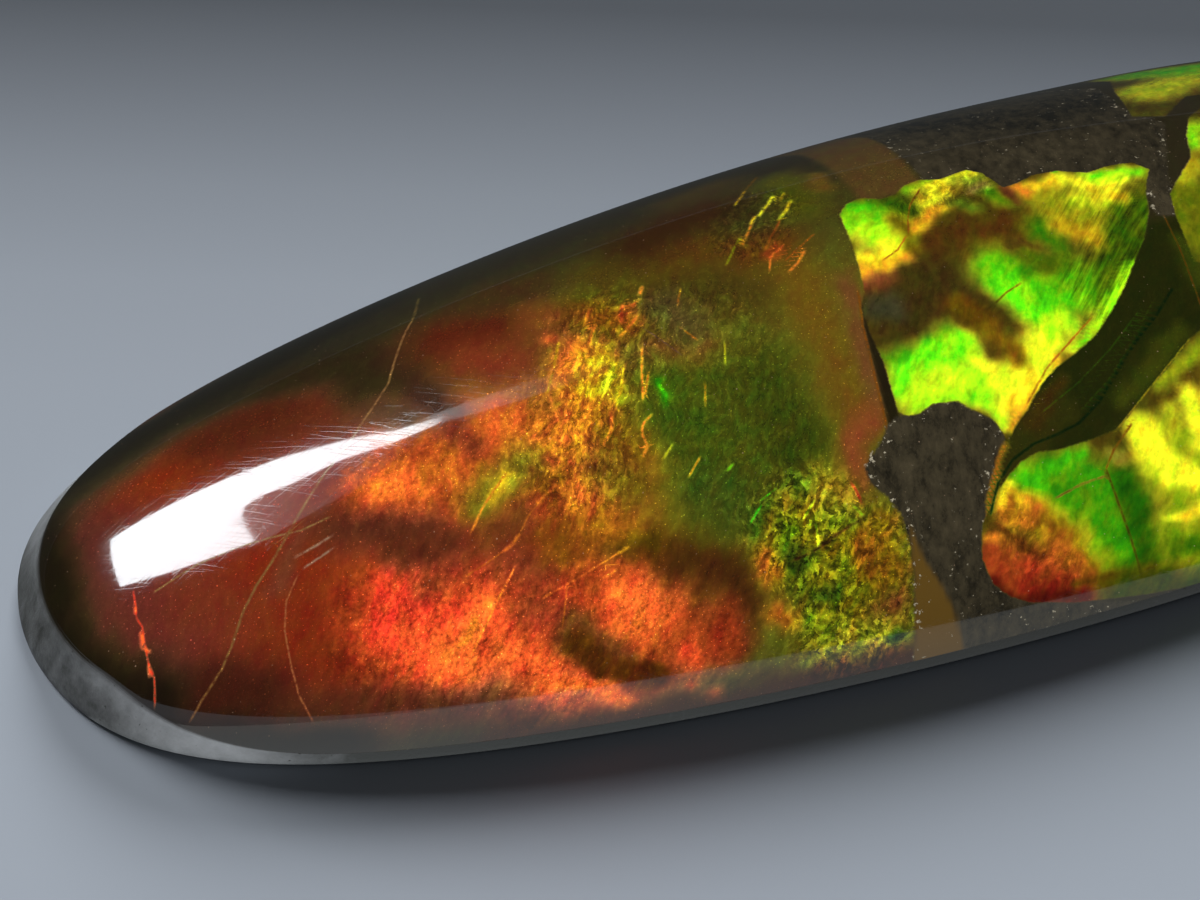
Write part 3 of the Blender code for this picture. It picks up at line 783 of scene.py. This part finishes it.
# More glints in the gold cloud and in the green beside it
score(0.22, 0.95, 0.045, (-5.95, -0.35), (-5.65, 0.02))
score(0.34, 1.00, 0.045, (-6.6, -1.5), (-6.35, -1.3), (-6.2, -1.05))
score(0.38, 1.00, 0.040, (-6.35, -2.0), (-6.1, -1.75), (-5.85, -1.4))
score(0.26, 1.00, 0.050, (-7.15, -2.55), (-6.85, -2.3), (-6.7, -1.95))
score(0.24, 0.95, 0.045, (-6.6, -2.95), (-6.35, -2.75), (-6.2, -2.4))
score(0.40, 0.90, 0.035, (-5.85, -2.0), (-5.7, -1.75), (-5.5, -1.35))
score(0.26, 0.90, 0.035, (-4.95, -1.1), (-5.15, -1.6), (-5.38, -2.25))
score(0.22, 1.00, 0.050, (-6.65, -0.95), (-6.35, -0.7))
score(0.36, 0.80, 0.040, (-6.9, -0.6), (-6.6, -0.1))
score(0.30, 0.85, 0.045, (-6.3, -0.9), (-5.95, -0.45))
score(0.42, 0.88, 0.040, (-6.55, -1.7), (-6.25, -1.25))
score(0.26, 0.80, 0.040, (-5.9, 0.1), (-5.6, 0.55))
score(0.34, 0.70, 0.035, (-7.3, -1.2), (-7.05, -0.85))
score(0.40, 0.80, 0.035, (-5.75, -1.45), (-5.5, -1.0))
score(0.30, 0.62, 0.030, (-3.7, -0.2), (-3.5, 0.15))
score(0.46, 0.60, 0.030, (-3.3, -2.1), (-3.15, -1.7))
score(0.34, 0.58, 0.030, (-4.1, -2.9), (-3.95, -2.5))
# Creases and cracks of the bright plates
score(0.40, 0.16, 0.030, (3.24, -2.57), (3.55, -2.40), (3.9, -2.27), strength=0.7)
score(0.24, 0.46, 0.024, (2.05, -0.15), (2.2, 0.25), (2.45, 0.7), (2.85, 1.12), strength=0.8)
score(0.26, 0.62, 0.025, (1.2, -0.75), (1.6, -0.58), (1.9, -0.3))
score(0.28, 0.62, 0.028, (3.1, -5.05), (3.8, -4.4), (4.5, -3.95), (5.2, -3.5))
score(0.36, 0.40, 0.030, (3.1, -7.35), (3.7, -7.2), (4.25, -7.15), dull=0.1)
score(0.46, 0.26, 0.035, (4.4, -7.05), (4.46, -7.8), (4.55, -8.6), (4.62, -9.4))
score(0.30, 0.42, 0.030, (5.25, -6.15), (4.7, -6.6), (4.42, -6.95))
# Seams of the dark band
score(0.66, 0.30, 0.022, (3.4, -5.35), (4.4, -4.9), (5.4, -4.3), (6.4, -3.55), strength=0.6)
score(0.62, 0.26, 0.020, (4.3, -5.5), (5.1, -5.0), (5.9, -4.3), (6.8, -3.4), strength=0.6)
score(0.80, 0.11, 0.035, (1.45, -7.3), (1.8, -6.7), (2.3, -6.27), (2.9, -6.04), (3.5, -5.96),
      (4.1, -5.82), (4.7, -5.46), (5.2, -5.02), (5.7, -4.55), (6.2, -4.14), (6.8, -3.7),
      (7.4, -3.15), dull=0.2, strength=0.65)
score(0.28, 0.40, 0.030, (1.1, -7.5), (1.45, -6.8), (1.85, -6.2), (2.15, -5.8))
score(0.36, 0.60, 0.022, (5.0, -6.1), (5.7, -5.6), (6.4, -5.1), (7.3, -4.45), strength=0.7)
score(0.30, 0.30, 0.025, (8.08, -0.9), (8.05, -2.2), (7.95, -3.6))

# Painted light and shade on the ground edge: dark at the far left and along the front,
# where it lies in shade, and pale between them, where the light falls on it.
RIM_LIGHT_AND_SHADE = (
    (-19.4, 0.04), (-18.4, 0.44), (-17.2, 0.72), (-16.4, 0.74), (-15.2, 0.25), (-13.6, -0.15))
rim_painted_light_and_shade = np.interp(skin[:, 0], *zip(*RIM_LIGHT_AND_SHADE))
tone_and_rim_shade += matte * (rim_painted_light_and_shade - tone_and_rim_shade)

mesh = bpy.data.meshes.new("ammolite")
mesh.from_pydata(points[:, :3].tolist(), [], faces.tolist())
layers = {
    "skin": (skin[:, 0], skin[:, 1], matte),
    "under": under,
    "plates": plates,
    "edges": (plate_edge, bare_edge, warm),
    "textures": (foil, scales, tone_and_rim_shade),
    "line": line,
    "line_paint": line_paint,
    "grain": (comb, spongy, crumbled),
}
for name, fields in layers.items():
    layer = mesh.attributes.new(name, "FLOAT_VECTOR", "POINT")
    layer.data.foreach_set("vector", np.column_stack(list(fields)).astype(np.float32).ravel())

# The baked map: the skin lies flat in one island, and the base in another above it.
MAP_WIDTH = 42.0
SKIN_MIDDLE = (0.5, 0.28)
BASE_MIDDLE = (0.5, 0.78)
corners = np.empty(len(mesh.loops), dtype=np.int32)
mesh.loops.foreach_get("vertex_index", corners)
corner_faces = np.repeat(np.arange(len(faces)), 4)
base_face = row_of_point[faces].max(axis=1) >= TOP_ROWS
on_base = base_face[corner_faces, None]
flat = np.where(on_base, points[corners, :2] / MM, skin[corners])
flat = flat / MAP_WIDTH + np.where(on_base, BASE_MIDDLE, SKIN_MIDDLE)
mesh.uv_layers.new(name="OFBake").data.foreach_set("uv", flat.astype(np.float32).ravel())
mesh.validate()
mesh.shade_smooth()
ammolite = bpy.data.objects.new("ammolite", mesh)
bpy.context.scene.collection.objects.link(ammolite)


def linear(red, green, blue):
    """Screen colour, 0 to 255, as linear light: a straight start, then a power of 2.4."""
    share = np.array([red, green, blue]) / 255.0
    low = share / 12.92
    high = ((share + 0.055) / 1.055) ** 2.4
    return (*np.where(share <= 0.04045, low, high), 1.0)


FIRE = [
    (0.00, linear(228, 34, 32)),
    (0.08, linear(244, 66, 34)),
    (0.18, linear(248, 110, 38)),
    (0.29, linear(250, 158, 30)),
    (0.39, linear(252, 214, 24)),
    (0.45, linear(252, 250, 34)),
    (0.54, linear(194, 242, 20)),
    (0.66, linear(92, 234, 8)),
    (0.78, linear(32, 205, 20)),
    (0.90, linear(15, 150, 65)),
    (1.00, linear(22, 112, 118)),
]
FIRE_POWER = 2.2
BRIGHTEST = 0.98
DULL = linear(210, 200, 176)
BODY = linear(4, 4, 3)
MATRIX_DARK = linear(22, 20, 14)
MATRIX_GREY = linear(74, 66, 48)
MATRIX_TAN = linear(86, 64, 24)
CRUMB = linear(160, 152, 130)
DUST = linear(205, 170, 140)
DUST_SHARE = 0.28
GROUND_DARK = linear(34, 34, 31)
GROUND_PALE = linear(146, 149, 152)
SHELL_IOR = 1.6
POLISHED_ROUGHNESS = 0.042
GROUND_ROUGHNESS = 0.6
WORN_ROUGHNESS = 0.14
WORN_SHARE = 0.08
SCRATCH_HEADINGS = (18.0, -38.0)
SCRATCH_LENGTH = 14.0
SCRATCH_WIDTH = 0.009
SCRATCH_DEPTH = -0.33
TOOTH_HEIGHT = 30.0
RELIEF_STEP = 0.0006 * MM

stone = bpy.data.materials.new("ammolite")
stone.use_nodes = True
nodes = stone.node_tree.nodes
surface = nodes["Principled BSDF"]


class Varying:
    """A value that varies over a surface: arithmetic with it adds nodes to its material."""

    def __init__(self, socket):
        self.socket = socket

    def __add__(self, other):
        return maths("ADD", self, other)

    def __sub__(self, other):
        return maths("SUBTRACT", self, other)

    def __rsub__(self, other):
        return maths("SUBTRACT", other, self)

    def __mul__(self, other):
        return maths("MULTIPLY", self, other)

    def __truediv__(self, other):
        return maths("DIVIDE", self, other)

    def __abs__(self):
        return maths("ABSOLUTE", self)


def wire(value, socket):
    """Links an output to an input, or sets the input's own value."""
    if isinstance(value, Varying):
        value = value.socket
    if isinstance(value, bpy.types.NodeSocket):
        socket.id_data.links.new(value, socket)
    else:
        socket.default_value = value


def parts_of(vector):
    """The X, Y and Z of a vector, each as a value."""
    apart = nodes.new("ShaderNodeSeparateXYZ")
    wire(vector, apart.inputs[0])
    return [Varying(part) for part in apart.outputs]


def fields_of(name):
    """The three fields of one of the mesh's layers."""
    layer = nodes.new("ShaderNodeAttribute")
    layer.attribute_name = name
    return parts_of(layer.outputs["Vector"])


def maths(operation, *values):
    """One step of arithmetic."""
    node = nodes.new("ShaderNodeMath")
    node.operation = operation
    for socket, value in zip(node.inputs, values):
        wire(value, socket)
    return Varying(node.outputs[0])


def blend(share, first, second):
    """First plus share of the way to second, for single values."""
    node = nodes.new("ShaderNodeMix")
    wire(share, node.inputs[0])
    wire(first, node.inputs[2])
    wire(second, node.inputs[3])
    return Varying(node.outputs[0])


def mix(share, first, second, kind="MIX"):
    """Mixes two colours."""
    node = nodes.new("ShaderNodeMix")
    node.data_type = "RGBA"
    node.blend_type = kind
    wire(share, node.inputs[0])
    wire(first, node.inputs[6])
    wire(second, node.inputs[7])
    return node.outputs[2]


def noise(place, scale, detail=3.0, roughness=0.5):
    """Noise from 0 to 1 over a place in millimetres."""
    node = nodes.new("ShaderNodeTexNoise")
    wire(place, node.inputs["Vector"])
    node.inputs["Scale"].default_value = scale
    node.inputs["Detail"].default_value = detail
    node.inputs["Roughness"].default_value = roughness
    return Varying(node.outputs["Fac"])


def swing(value, height):
    """A noise as a swing about 0: it runs from minus half its height to plus half."""
    return (value - 0.5) * height


def rise(value, start, end):
    """0 at the start and 1 at the end, clamped."""
    node = nodes.new("ShaderNodeMapRange")
    wire(value, node.inputs["Value"])
    node.inputs["From Min"].default_value = start
    node.inputs["From Max"].default_value = end
    return Varying(node.outputs[0])


def cells(place, scale):
    """A random value from 0 to 1 in each cell of a mosaic."""
    node = nodes.new("ShaderNodeTexVoronoi")
    wire(place, node.inputs["Vector"])
    node.inputs["Scale"].default_value = scale
    apart = nodes.new("ShaderNodeSeparateColor")
    wire(node.outputs["Color"], apart.inputs[0])
    return Varying(apart.outputs[0])


def drawn_out(place, heading, length):
    """A place turned to a heading in degrees, where patterns get longer that way."""
    node = nodes.new("ShaderNodeMapping")
    node.vector_type = "TEXTURE"
    wire(place, node.inputs["Vector"])
    node.inputs["Rotation"].default_value = (0.0, 0.0, math.radians(heading))
    node.inputs["Scale"].default_value = (length, 1.0, 1.0)
    return node.outputs[0]


def web(value, width):
    """Bright lines where a noise passes its middle, as folds in foil."""
    return rise(abs(value - 0.5), width, 0.0)


def shifted(place, by, reach):
    """A place moved about by a coloured noise."""
    node = nodes.new("ShaderNodeTexNoise")
    wire(place, node.inputs["Vector"])
    node.inputs["Scale"].default_value = by
    step = nodes.new("ShaderNodeVectorMath")
    step.operation = "MULTIPLY_ADD"
    wire(node.outputs["Color"], step.inputs[0])
    wire((reach, reach, 0.0), step.inputs[1])
    wire(place, step.inputs[2])
    return step.outputs[0]


def scaled(colour, light):
    """A colour times a brightness, kept below full in each channel."""
    product = nodes.new("ShaderNodeVectorMath")
    product.operation = "SCALE"
    wire(colour, product.inputs[0])
    wire(light, product.inputs["Scale"])
    capped = nodes.new("ShaderNodeVectorMath")
    capped.operation = "MINIMUM"
    wire(product.outputs[0], capped.inputs[0])
    wire((BRIGHTEST, BRIGHTEST, BRIGHTEST), capped.inputs[1])
    return capped.outputs[0]


def ramp(value, stops):
    """A colour ramp through (place, colour) stops."""
    node = nodes.new("ShaderNodeValToRGB")
    wire(value, node.inputs[0])
    band = node.color_ramp
    for place, colour in stops[1:-1]:
        band.elements.new(place).color = colour
    band.elements[0].position, band.elements[0].color = stops[0]
    band.elements[-1].position, band.elements[-1].color = stops[-1]
    return node.outputs[0]


# Patterns are worked out over the flat skin, in millimetres along and across it.
along, across, matte_share = fields_of("skin")
flat_place = nodes.new("ShaderNodeCombineXYZ")
wire(along, flat_place.inputs[0])
wire(across, flat_place.inputs[1])
place = flat_place.outputs[0]
plate_offset, bare_offset, warmth = fields_of("edges")
foil_share, scale_share, tone_and_painted_rim_shade = fields_of("textures")
line_offset, line_width, line_strength = fields_of("line")
comb_share, sponge_share, crumble_share = fields_of("grain")

# Each noise has its number of grains in a millimetre, its detail and its roughness.
velvet = noise(place, 7.0, 4.0, 0.7)
grain = noise(place, 17.0, 2.0, 0.6)
drift = noise(place, 1.6, 2.0)
hue_drift = noise(drawn_out(place, 55.0, 1.6), 2.6, 4.0, 0.6)
ragged = noise(place, 6.0, 4.0, 0.7)

# Sharp edges of the plates, the bare matrix and the lines, made a little ragged
PLATE_RAGGED = 0.10
PLATE_BLUR = 0.025
BARE_RAGGED = 0.20
BARE_BLUR = 0.04
LINE_RAGGED = 0.04
on_plate = rise(plate_offset + swing(ragged, PLATE_RAGGED), -PLATE_BLUR, PLATE_BLUR)
off_plate = 1.0 - on_plate
on_bare = rise(bare_offset + swing(ragged, BARE_RAGGED), -BARE_BLUR, BARE_BLUR)
line_off = abs(line_offset + swing(ragged, LINE_RAGGED))
line_share = rise(line_off / line_width, 1.5, 0.2) * line_strength
line_share = line_share * rise(velvet, 0.30, 0.52)
film, glow, dull = [
    blend(line_share, blend(on_plate, first, second), third)
    for first, second, third in zip(fields_of("under"), fields_of("plates"), fields_of("line_paint"))
]

# Under paint: folds of foil, sponge, velvet and lizard scales break up the glow
LEAF_SWING = 1.2
LEAF_FOLDS = 0.28
FINE_LEAF_SWING = 1.0
FINE_LEAF_FOLDS = 0.20
FINE_LEAF_TIPS = 0.35
FLAKE_SWING = 0.35
SPONGE_SWING = 1.9
SPONGE_DARKEST = 0.35
SPONGE_LEAST = 0.05
VEIN_SWING = 1.1
VELVET_SWING = 0.16
GRAIN_SWING = 0.16
PIT_DEPTH = 0.14
SCALE_GLOW = 0.54
SCALE_FLECKS = 0.60
SCALE_FLAKES = 0.62
BROKEN_GLOW = 0.62
BROKEN_REACH = 0.30
BROKEN_SWING = 0.7
foil_here = foil_share * off_plate
scales_here = scale_share * off_plate
bent = shifted(place, 1.2, 0.5)
leaf = noise(drawn_out(bent, 56.0, 1.7), 4.6, 2.0, 0.55)
fine_leaf = noise(drawn_out(bent, 64.0, 1.7), 9.5, 2.0, 0.55)
flakes = cells(drawn_out(shifted(bent, 12.0, 0.20), 62.0, 2.0), 10.5)
crinkle = swing(leaf, LEAF_SWING) + swing(fine_leaf, FINE_LEAF_SWING)
crinkle = crinkle - web(leaf, 0.030) * LEAF_FOLDS - web(fine_leaf, 0.040) * FINE_LEAF_FOLDS
crinkle = crinkle + rise(fine_leaf, 0.60, 0.70) * FINE_LEAF_TIPS
crinkle = crinkle + swing(rise(flakes, 0.35, 1.0), FLAKE_SWING)
sponge = noise(place, 10.0, 3.0, 0.65)
veins = noise(drawn_out(bent, 48.0, 1.9), 2.6, 3.0, 0.6)
sponge_height = maths("MAXIMUM", glow - SPONGE_DARKEST, SPONGE_LEAST)
pattern = swing(sponge, SPONGE_SWING) * sponge_height + swing(veins, VEIN_SWING)
pattern = pattern * sponge_share + swing(velvet, VELVET_SWING)
pattern = pattern + (swing(grain, GRAIN_SWING) + 1.0)
pits = rise(noise(place, 8.0, 2.0, 0.6), 0.42, 0.34) * PIT_DEPTH * sponge_share
pattern = pattern - pits * rise(glow, 0.5, 0.8)
pattern = pattern + crinkle * foil_here
flecks = rise(noise(bent, 6.5, 3.0, 0.65), 0.40, 0.62) + swing(noise(place, 2.8, 2.0), 1.1)
scaly = flecks * SCALE_FLECKS + SCALE_GLOW + rise(flakes, 0.45, 0.95) * SCALE_FLAKES
pattern = pattern * blend(scales_here, 1.0, scaly)
from_broken = abs((glow - BROKEN_GLOW) / BROKEN_REACH)
broken = rise(from_broken, 1.0, 0.0) * swing(ragged, BROKEN_SWING) * sponge_share
sparks = rise(noise(place, 19.0, 1.0), 0.67, 0.77) * rise(glow, 0.12, 0.9)
light = glow + (broken + sparks) * off_plate

# Plates: a smooth sheen with wrinkles, and combed or crumbled in places
SHEEN_VELVET = 0.35
SHEEN_LEAF = 0.45
SHEEN_DRIFT = 0.25
SHEEN_WRINKLES = 0.6
COMB_SWING = 0.65
combed = noise(drawn_out(place, 46.0, 9.0), 7.0, 3.0, 0.65)
wrinkles = noise(drawn_out(bent, 58.0, 2.6), 5.0, 4.0, 0.65)
sheen = swing(velvet, SHEEN_VELVET) + swing(leaf, SHEEN_LEAF) + swing(drift, SHEEN_DRIFT)
sheen = sheen + swing(wrinkles, SHEEN_WRINKLES) + crinkle * crumble_share
sheen = sheen + swing(rise(combed, 0.34, 0.66), COMB_SWING) * comb_share
light = light * blend(on_plate, pattern, sheen + 1.0)
light = maths("POWER", maths("MAXIMUM", light, 0.0), FIRE_POWER)

# The hue wanders most on the scales, and the body of the shell is nearly black
HUE_SPREAD = 0.17
FOIL_SPREAD = 0.20
PLATE_SPREAD = 0.16
SCALE_SPREAD = 0.40
LEAF_SPREAD = 0.35
spread = foil_here * FOIL_SPREAD + HUE_SPREAD + on_plate * PLATE_SPREAD
spread = spread + scales_here * SCALE_SPREAD
hue = film + swing(hue_drift, spread) + swing(leaf, LEAF_SPREAD) * foil_here
fire = mix(dull, ramp(hue, FIRE), DULL)
fire = mix(1.0, scaled(fire, light), BODY, "ADD")

# Matrix: grey-brown mudstone with pale crumbs, most of them along its edges
CLAY_SWING = 1.9
CRUMBS_AT_EDGE = 0.08
CRUMB_DRIFT = 0.30
clay = swing(noise(drawn_out(place, 80.0, 1.5), 3.0, 6.0, 0.74), CLAY_SWING) + tone_and_painted_rim_shade
matrix = mix(rise(clay, 0.0, 1.0), MATRIX_DARK, MATRIX_GREY)
matrix = mix(warmth, matrix, MATRIX_TAN)
crumbs = noise(place, 6.0, 3.0, 0.7) + rise(bare_offset, 0.40, 0.0) * CRUMBS_AT_EDGE
crumbs = crumbs + swing(drift, CRUMB_DRIFT)
matrix = mix(rise(crumbs, 0.67, 0.75), matrix, CRUMB)
colour = mix(on_bare * off_plate, fire, matrix)
dust = rise(noise(place, 15.0, 0.0), 0.83, 0.90)
colour = mix(dust * DUST_SHARE, colour, DUST)

# The matte edge and base are ground shell, mottled grey with dark pits; through the same
# field as the matrix's tone they also carry the painted light and shade of the edge.
MOTTLE_SWING = 0.7
GROUND_PALER = 0.06
mottle = swing(noise(place, 1.8, 5.0, 0.65), MOTTLE_SWING) + (tone_and_painted_rim_shade + GROUND_PALER)
ground = mix(rise(mottle, 0.0, 1.0), GROUND_DARK, GROUND_PALE)
ground = mix(rise(noise(place, 7.0, 2.0), 0.31, 0.26), ground, MATRIX_DARK)
wire(mix(matte_share, colour, ground), surface.inputs["Base Color"])

# Polish, a little worn along the top of the dome
WORN_ACROSS = -1.0
WORN_REACH = 3.4
WORN_CORE = 1.2
surface.inputs["IOR"].default_value = SHELL_IOR
wire(blend(matte_share, POLISHED_ROUGHNESS, GROUND_ROUGHNESS), surface.inputs["Roughness"])
surface.inputs["Coat Roughness"].default_value = WORN_ROUGHNESS
surface.inputs["Coat IOR"].default_value = SHELL_IOR
worn = rise(abs(across - WORN_ACROSS), WORN_REACH, WORN_CORE) * (1.0 - matte_share)
wire(worn * WORN_SHARE, surface.inputs["Coat Weight"])

# Hair-fine scratches in the polish, and the tooth of the ground edge
long_scratches, cross_scratches = [
    web(noise(drawn_out(place, heading, SCRATCH_LENGTH), 5.0, 1.0), SCRATCH_WIDTH)
    for heading in SCRATCH_HEADINGS]
tooth = noise(place, 9.0, 3.0, 0.7) * matte_share
relief = nodes.new("ShaderNodeBump")
relief.inputs["Distance"].default_value = RELIEF_STEP
scratches = long_scratches + cross_scratches
wire(scratches * SCRATCH_DEPTH + tooth * TOOTH_HEIGHT, relief.inputs["Height"])
wire(relief.outputs[0], surface.inputs["Normal"])
mesh.materials.append(stone)
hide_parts("ammolite_stone")
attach(ammolite, "root")


# The stage: a sheet of grey-blue paper, with painted shade that darkens it towards the back
# as the light falls off. The polish mirrors a softbox, a reflector and a faint haze behind
# the stone, and a flag and a card on the paper. The soft lamps, which it doesn't mirror, light
# the paper or the stone.

FLOOR_HALF = 3.0
PAPER_COLOUR = (0.345, 0.384, 0.440, 1.0)
PAPER_ROUGHNESS = 0.8
PAPER_DARKER_ALONG = (0.430, 0.927)
PAPER_DARKER_FROM = -15.0 * MM
PAPER_DARKER_TO = 45.0 * MM
PAPER_PAINTED_FALLOFF = [
    (0.0, 1.0), (0.26, 0.90), (0.32, 0.825), (0.375, 0.675), (0.43, 0.465), (0.485, 0.26),
    (0.54, 0.245), (1.0, 0.245)]
GLOW_COLOUR = (0.87, 0.96, 1.0, 1.0)
SOFTBOX_HEIGHT = 0.5
SOFTBOX_GLOW = 16.9
SOFTBOX_FADE = (-0.055, -0.043, 8.0)
SOFTBOX_CORNERS = [
    (-0.401, 0.898), (-0.291, 0.809), (-0.209, 0.724), (-0.151, 0.641), (-0.114, 0.559),
    (-0.080, 0.437), (-0.061, 0.351), (-0.043, 0.308), (-0.046, 0.284), (-0.066, 0.300),
    (-0.088, 0.345), (-0.114, 0.358), (-0.134, 0.386), (-0.147, 0.380), (-0.151, 0.340),
    (-0.150, 0.278), (-0.147, 0.212), (-0.178, 0.237), (-0.234, 0.281), (-0.400, 0.420)]
REFLECTOR_GLOW = 2.1
REFLECTOR_FADE = (-0.044, 0.008, 0.1)
REFLECTOR_CORNERS = [
    (-0.050, 0.345), (-0.030, 0.318), (0.002, 0.274), (0.030, 0.236), (0.021, 0.188),
    (-0.016, 0.226), (-0.035, 0.261), (-0.044, 0.282)]
HAZE_HEIGHT = 0.502
HAZE_GLOW = 1.3
HAZE_FADE = (-0.147, -0.055, 0.05)
HAZE_CORNERS = [
    (-0.160, 0.390), (-0.060, 0.320), (-0.052, 0.270), (-0.085, 0.200), (-0.147, 0.195),
    (-0.160, 0.250)]
FLAG_HEIGHT = 0.0001
FLAG_GLOW = 0.035
FLAG_CORNERS = [
    (-0.035, 0.000), (-0.0185, 0.0005), (0.0185, 0.0005), (0.060, 0.000), (0.3, 0.3),
    (-0.3, 0.3)]
CARD_GLOW = 0.85
CARD_FADE = (-0.014, 0.002, 0.52)
CARD_CORNERS = [(-0.019, -0.090), (0.045, -0.090), (0.045, -0.001), (-0.019, -0.001)]
ROOM_COLOUR = (0.9, 0.95, 1.0, 1.0)
ROOM_GLOW = 0.02


def flat_piece(name, corners, material):
    """A flat sheet through its corners, which belongs to the stage."""
    sheet = bpy.data.meshes.new(name)
    sheet.from_pydata(corners, [], [tuple(range(len(corners)))])
    sheet.materials.append(material)
    piece = bpy.data.objects.new(name, sheet)
    bpy.context.scene.collection.objects.link(piece)
    return piece


def lamp(name, towards, energy, angle, lights):
    """A soft lamp far off, which lights one collection and isn't mirrored."""
    light = bpy.data.lights.new(name, "SUN")
    light.energy = energy
    light.angle = math.radians(angle)
    piece = bpy.data.objects.new(name, light)
    piece.visible_glossy = False
    piece.rotation_euler = Vector(towards).to_track_quat("Z", "Y").to_euler()
    piece.light_linking.receiver_collection = lights
    bpy.context.scene.collection.objects.link(piece)


paper = bpy.data.materials.new("paper")
paper.use_nodes = True
nodes = paper.node_tree.nodes
surface = nodes["Principled BSDF"]
x, y = parts_of(nodes.new("ShaderNodeTexCoord").outputs["Object"])[:2]
# Painted shade: the paper's colour darkens towards the back, where the light falls off.
behind = x * PAPER_DARKER_ALONG[0] + y * PAPER_DARKER_ALONG[1]
behind = rise(behind, PAPER_DARKER_FROM, PAPER_DARKER_TO)
fade = ramp(behind, [(place, (share, share, share, 1.0)) for place, share in PAPER_PAINTED_FALLOFF])
wire(mix(1.0, fade, PAPER_COLOUR, "MULTIPLY"), surface.inputs["Base Color"])
surface.inputs["Roughness"].default_value = PAPER_ROUGHNESS
surface.inputs["Specular IOR Level"].default_value = 0.0
floor = flat_piece("floor", [
    (-FLOOR_HALF, -FLOOR_HALF, 0.0),
    (FLOOR_HALF, -FLOOR_HALF, 0.0),
    (FLOOR_HALF, FLOOR_HALF, 0.0),
    (-FLOOR_HALF, FLOOR_HALF, 0.0),
], paper)


def glowing(name, corners, height, strength, fading=None):
    """A sheet seen only as a reflection. It can fade from one X to another, to a least glow."""
    shining = bpy.data.materials.new(name)
    shining.use_nodes = True
    tree = shining.node_tree
    tree.nodes.remove(tree.nodes["Principled BSDF"])
    shine = tree.nodes.new("ShaderNodeEmission")
    if fading:
        start, end, least = fading
        fade = tree.nodes.new("ShaderNodeMapRange")
        fade.inputs["From Min"].default_value = start
        fade.inputs["From Max"].default_value = end
        fade.inputs["To Min"].default_value = strength
        fade.inputs["To Max"].default_value = least
        place = tree.nodes.new("ShaderNodeTexCoord").outputs["Object"]
        apart = tree.nodes.new("ShaderNodeSeparateXYZ")
        tree.links.new(place, apart.inputs[0])
        tree.links.new(apart.outputs["X"], fade.inputs["Value"])
        tree.links.new(fade.outputs[0], shine.inputs["Strength"])
    else:
        shine.inputs["Strength"].default_value = strength
    shine.inputs["Color"].default_value = GLOW_COLOUR
    tree.links.new(shine.outputs[0], tree.nodes["Material Output"].inputs["Surface"])
    sheet = flat_piece(name, [(x, y, height) for x, y in corners], shining)
    sheet.visible_camera = False
    sheet.visible_diffuse = False
    sheet.visible_shadow = False


glowing("softbox", SOFTBOX_CORNERS, SOFTBOX_HEIGHT, SOFTBOX_GLOW, SOFTBOX_FADE)
glowing("reflector", REFLECTOR_CORNERS, SOFTBOX_HEIGHT, REFLECTOR_GLOW, REFLECTOR_FADE)
glowing("haze", HAZE_CORNERS, HAZE_HEIGHT, HAZE_GLOW, HAZE_FADE)
glowing("flag", FLAG_CORNERS, FLAG_HEIGHT, FLAG_GLOW)
glowing("card", CARD_CORNERS, FLAG_HEIGHT, CARD_GLOW, CARD_FADE)

on_paper = bpy.data.collections.new("lit paper")
on_paper.objects.link(floor)
on_stone = bpy.data.collections.new("lit stone")
on_stone.objects.link(ammolite)
lamp("paper key", (-0.36, 0.78, 0.515), 3.05, 26.0, on_paper)
lamp("paper second", (0.41, 0.78, 0.515), 2.7, 26.0, on_paper)
lamp("paper fill", (0.0, 0.1, 1.0), 0.16, 150.0, on_paper)
lamp("stone key", (-0.30, 0.62, 0.75), 1.8, 42.0, on_stone)
lamp("stone fill", (-0.2, -0.6, 0.75), 3.4, 90.0, on_stone)

world = bpy.data.worlds.new("room")
bpy.context.scene.world = world
world.use_nodes = True
background = world.node_tree.nodes["Background"]
background.inputs["Color"].default_value = ROOM_COLOUR
background.inputs["Strength"].default_value = ROOM_GLOW
bpy.context.scene.view_settings.view_transform = "Standard"

# The camera stands 250 mm off, to the front left of the stone and above it.
VIEW_TURN = math.radians(22.0)
VIEW_RISE = math.radians(46.43)
VIEW_DISTANCE = 250.0 * MM
VIEW_WIDTH = 27.64 * MM
VIEW_TARGET = np.array([-5.72, -0.458, 2.0]) * MM
VIEW_NEAREST = 10.0 * MM
SENSOR_WIDTH = 36.0
level = -math.cos(VIEW_RISE)
back = np.array([level * math.sin(VIEW_TURN), level * math.cos(VIEW_TURN), math.sin(VIEW_RISE)])
right = np.array([math.cos(VIEW_TURN), -math.sin(VIEW_TURN), 0.0])
up = np.cross(back, right)
lens = bpy.data.cameras.new("camera")
lens.sensor_width = SENSOR_WIDTH
lens.lens = SENSOR_WIDTH * VIEW_DISTANCE / VIEW_WIDTH
lens.clip_start = VIEW_NEAREST
camera = bpy.data.objects.new("camera", lens)
stand = Matrix.Translation(VIEW_TARGET + VIEW_DISTANCE * back)
camera.matrix_world = stand @ Matrix(np.column_stack([right, up, back]).tolist()).to_4x4()
bpy.context.scene.collection.objects.link(camera)
bpy.context.scene.camera = camera
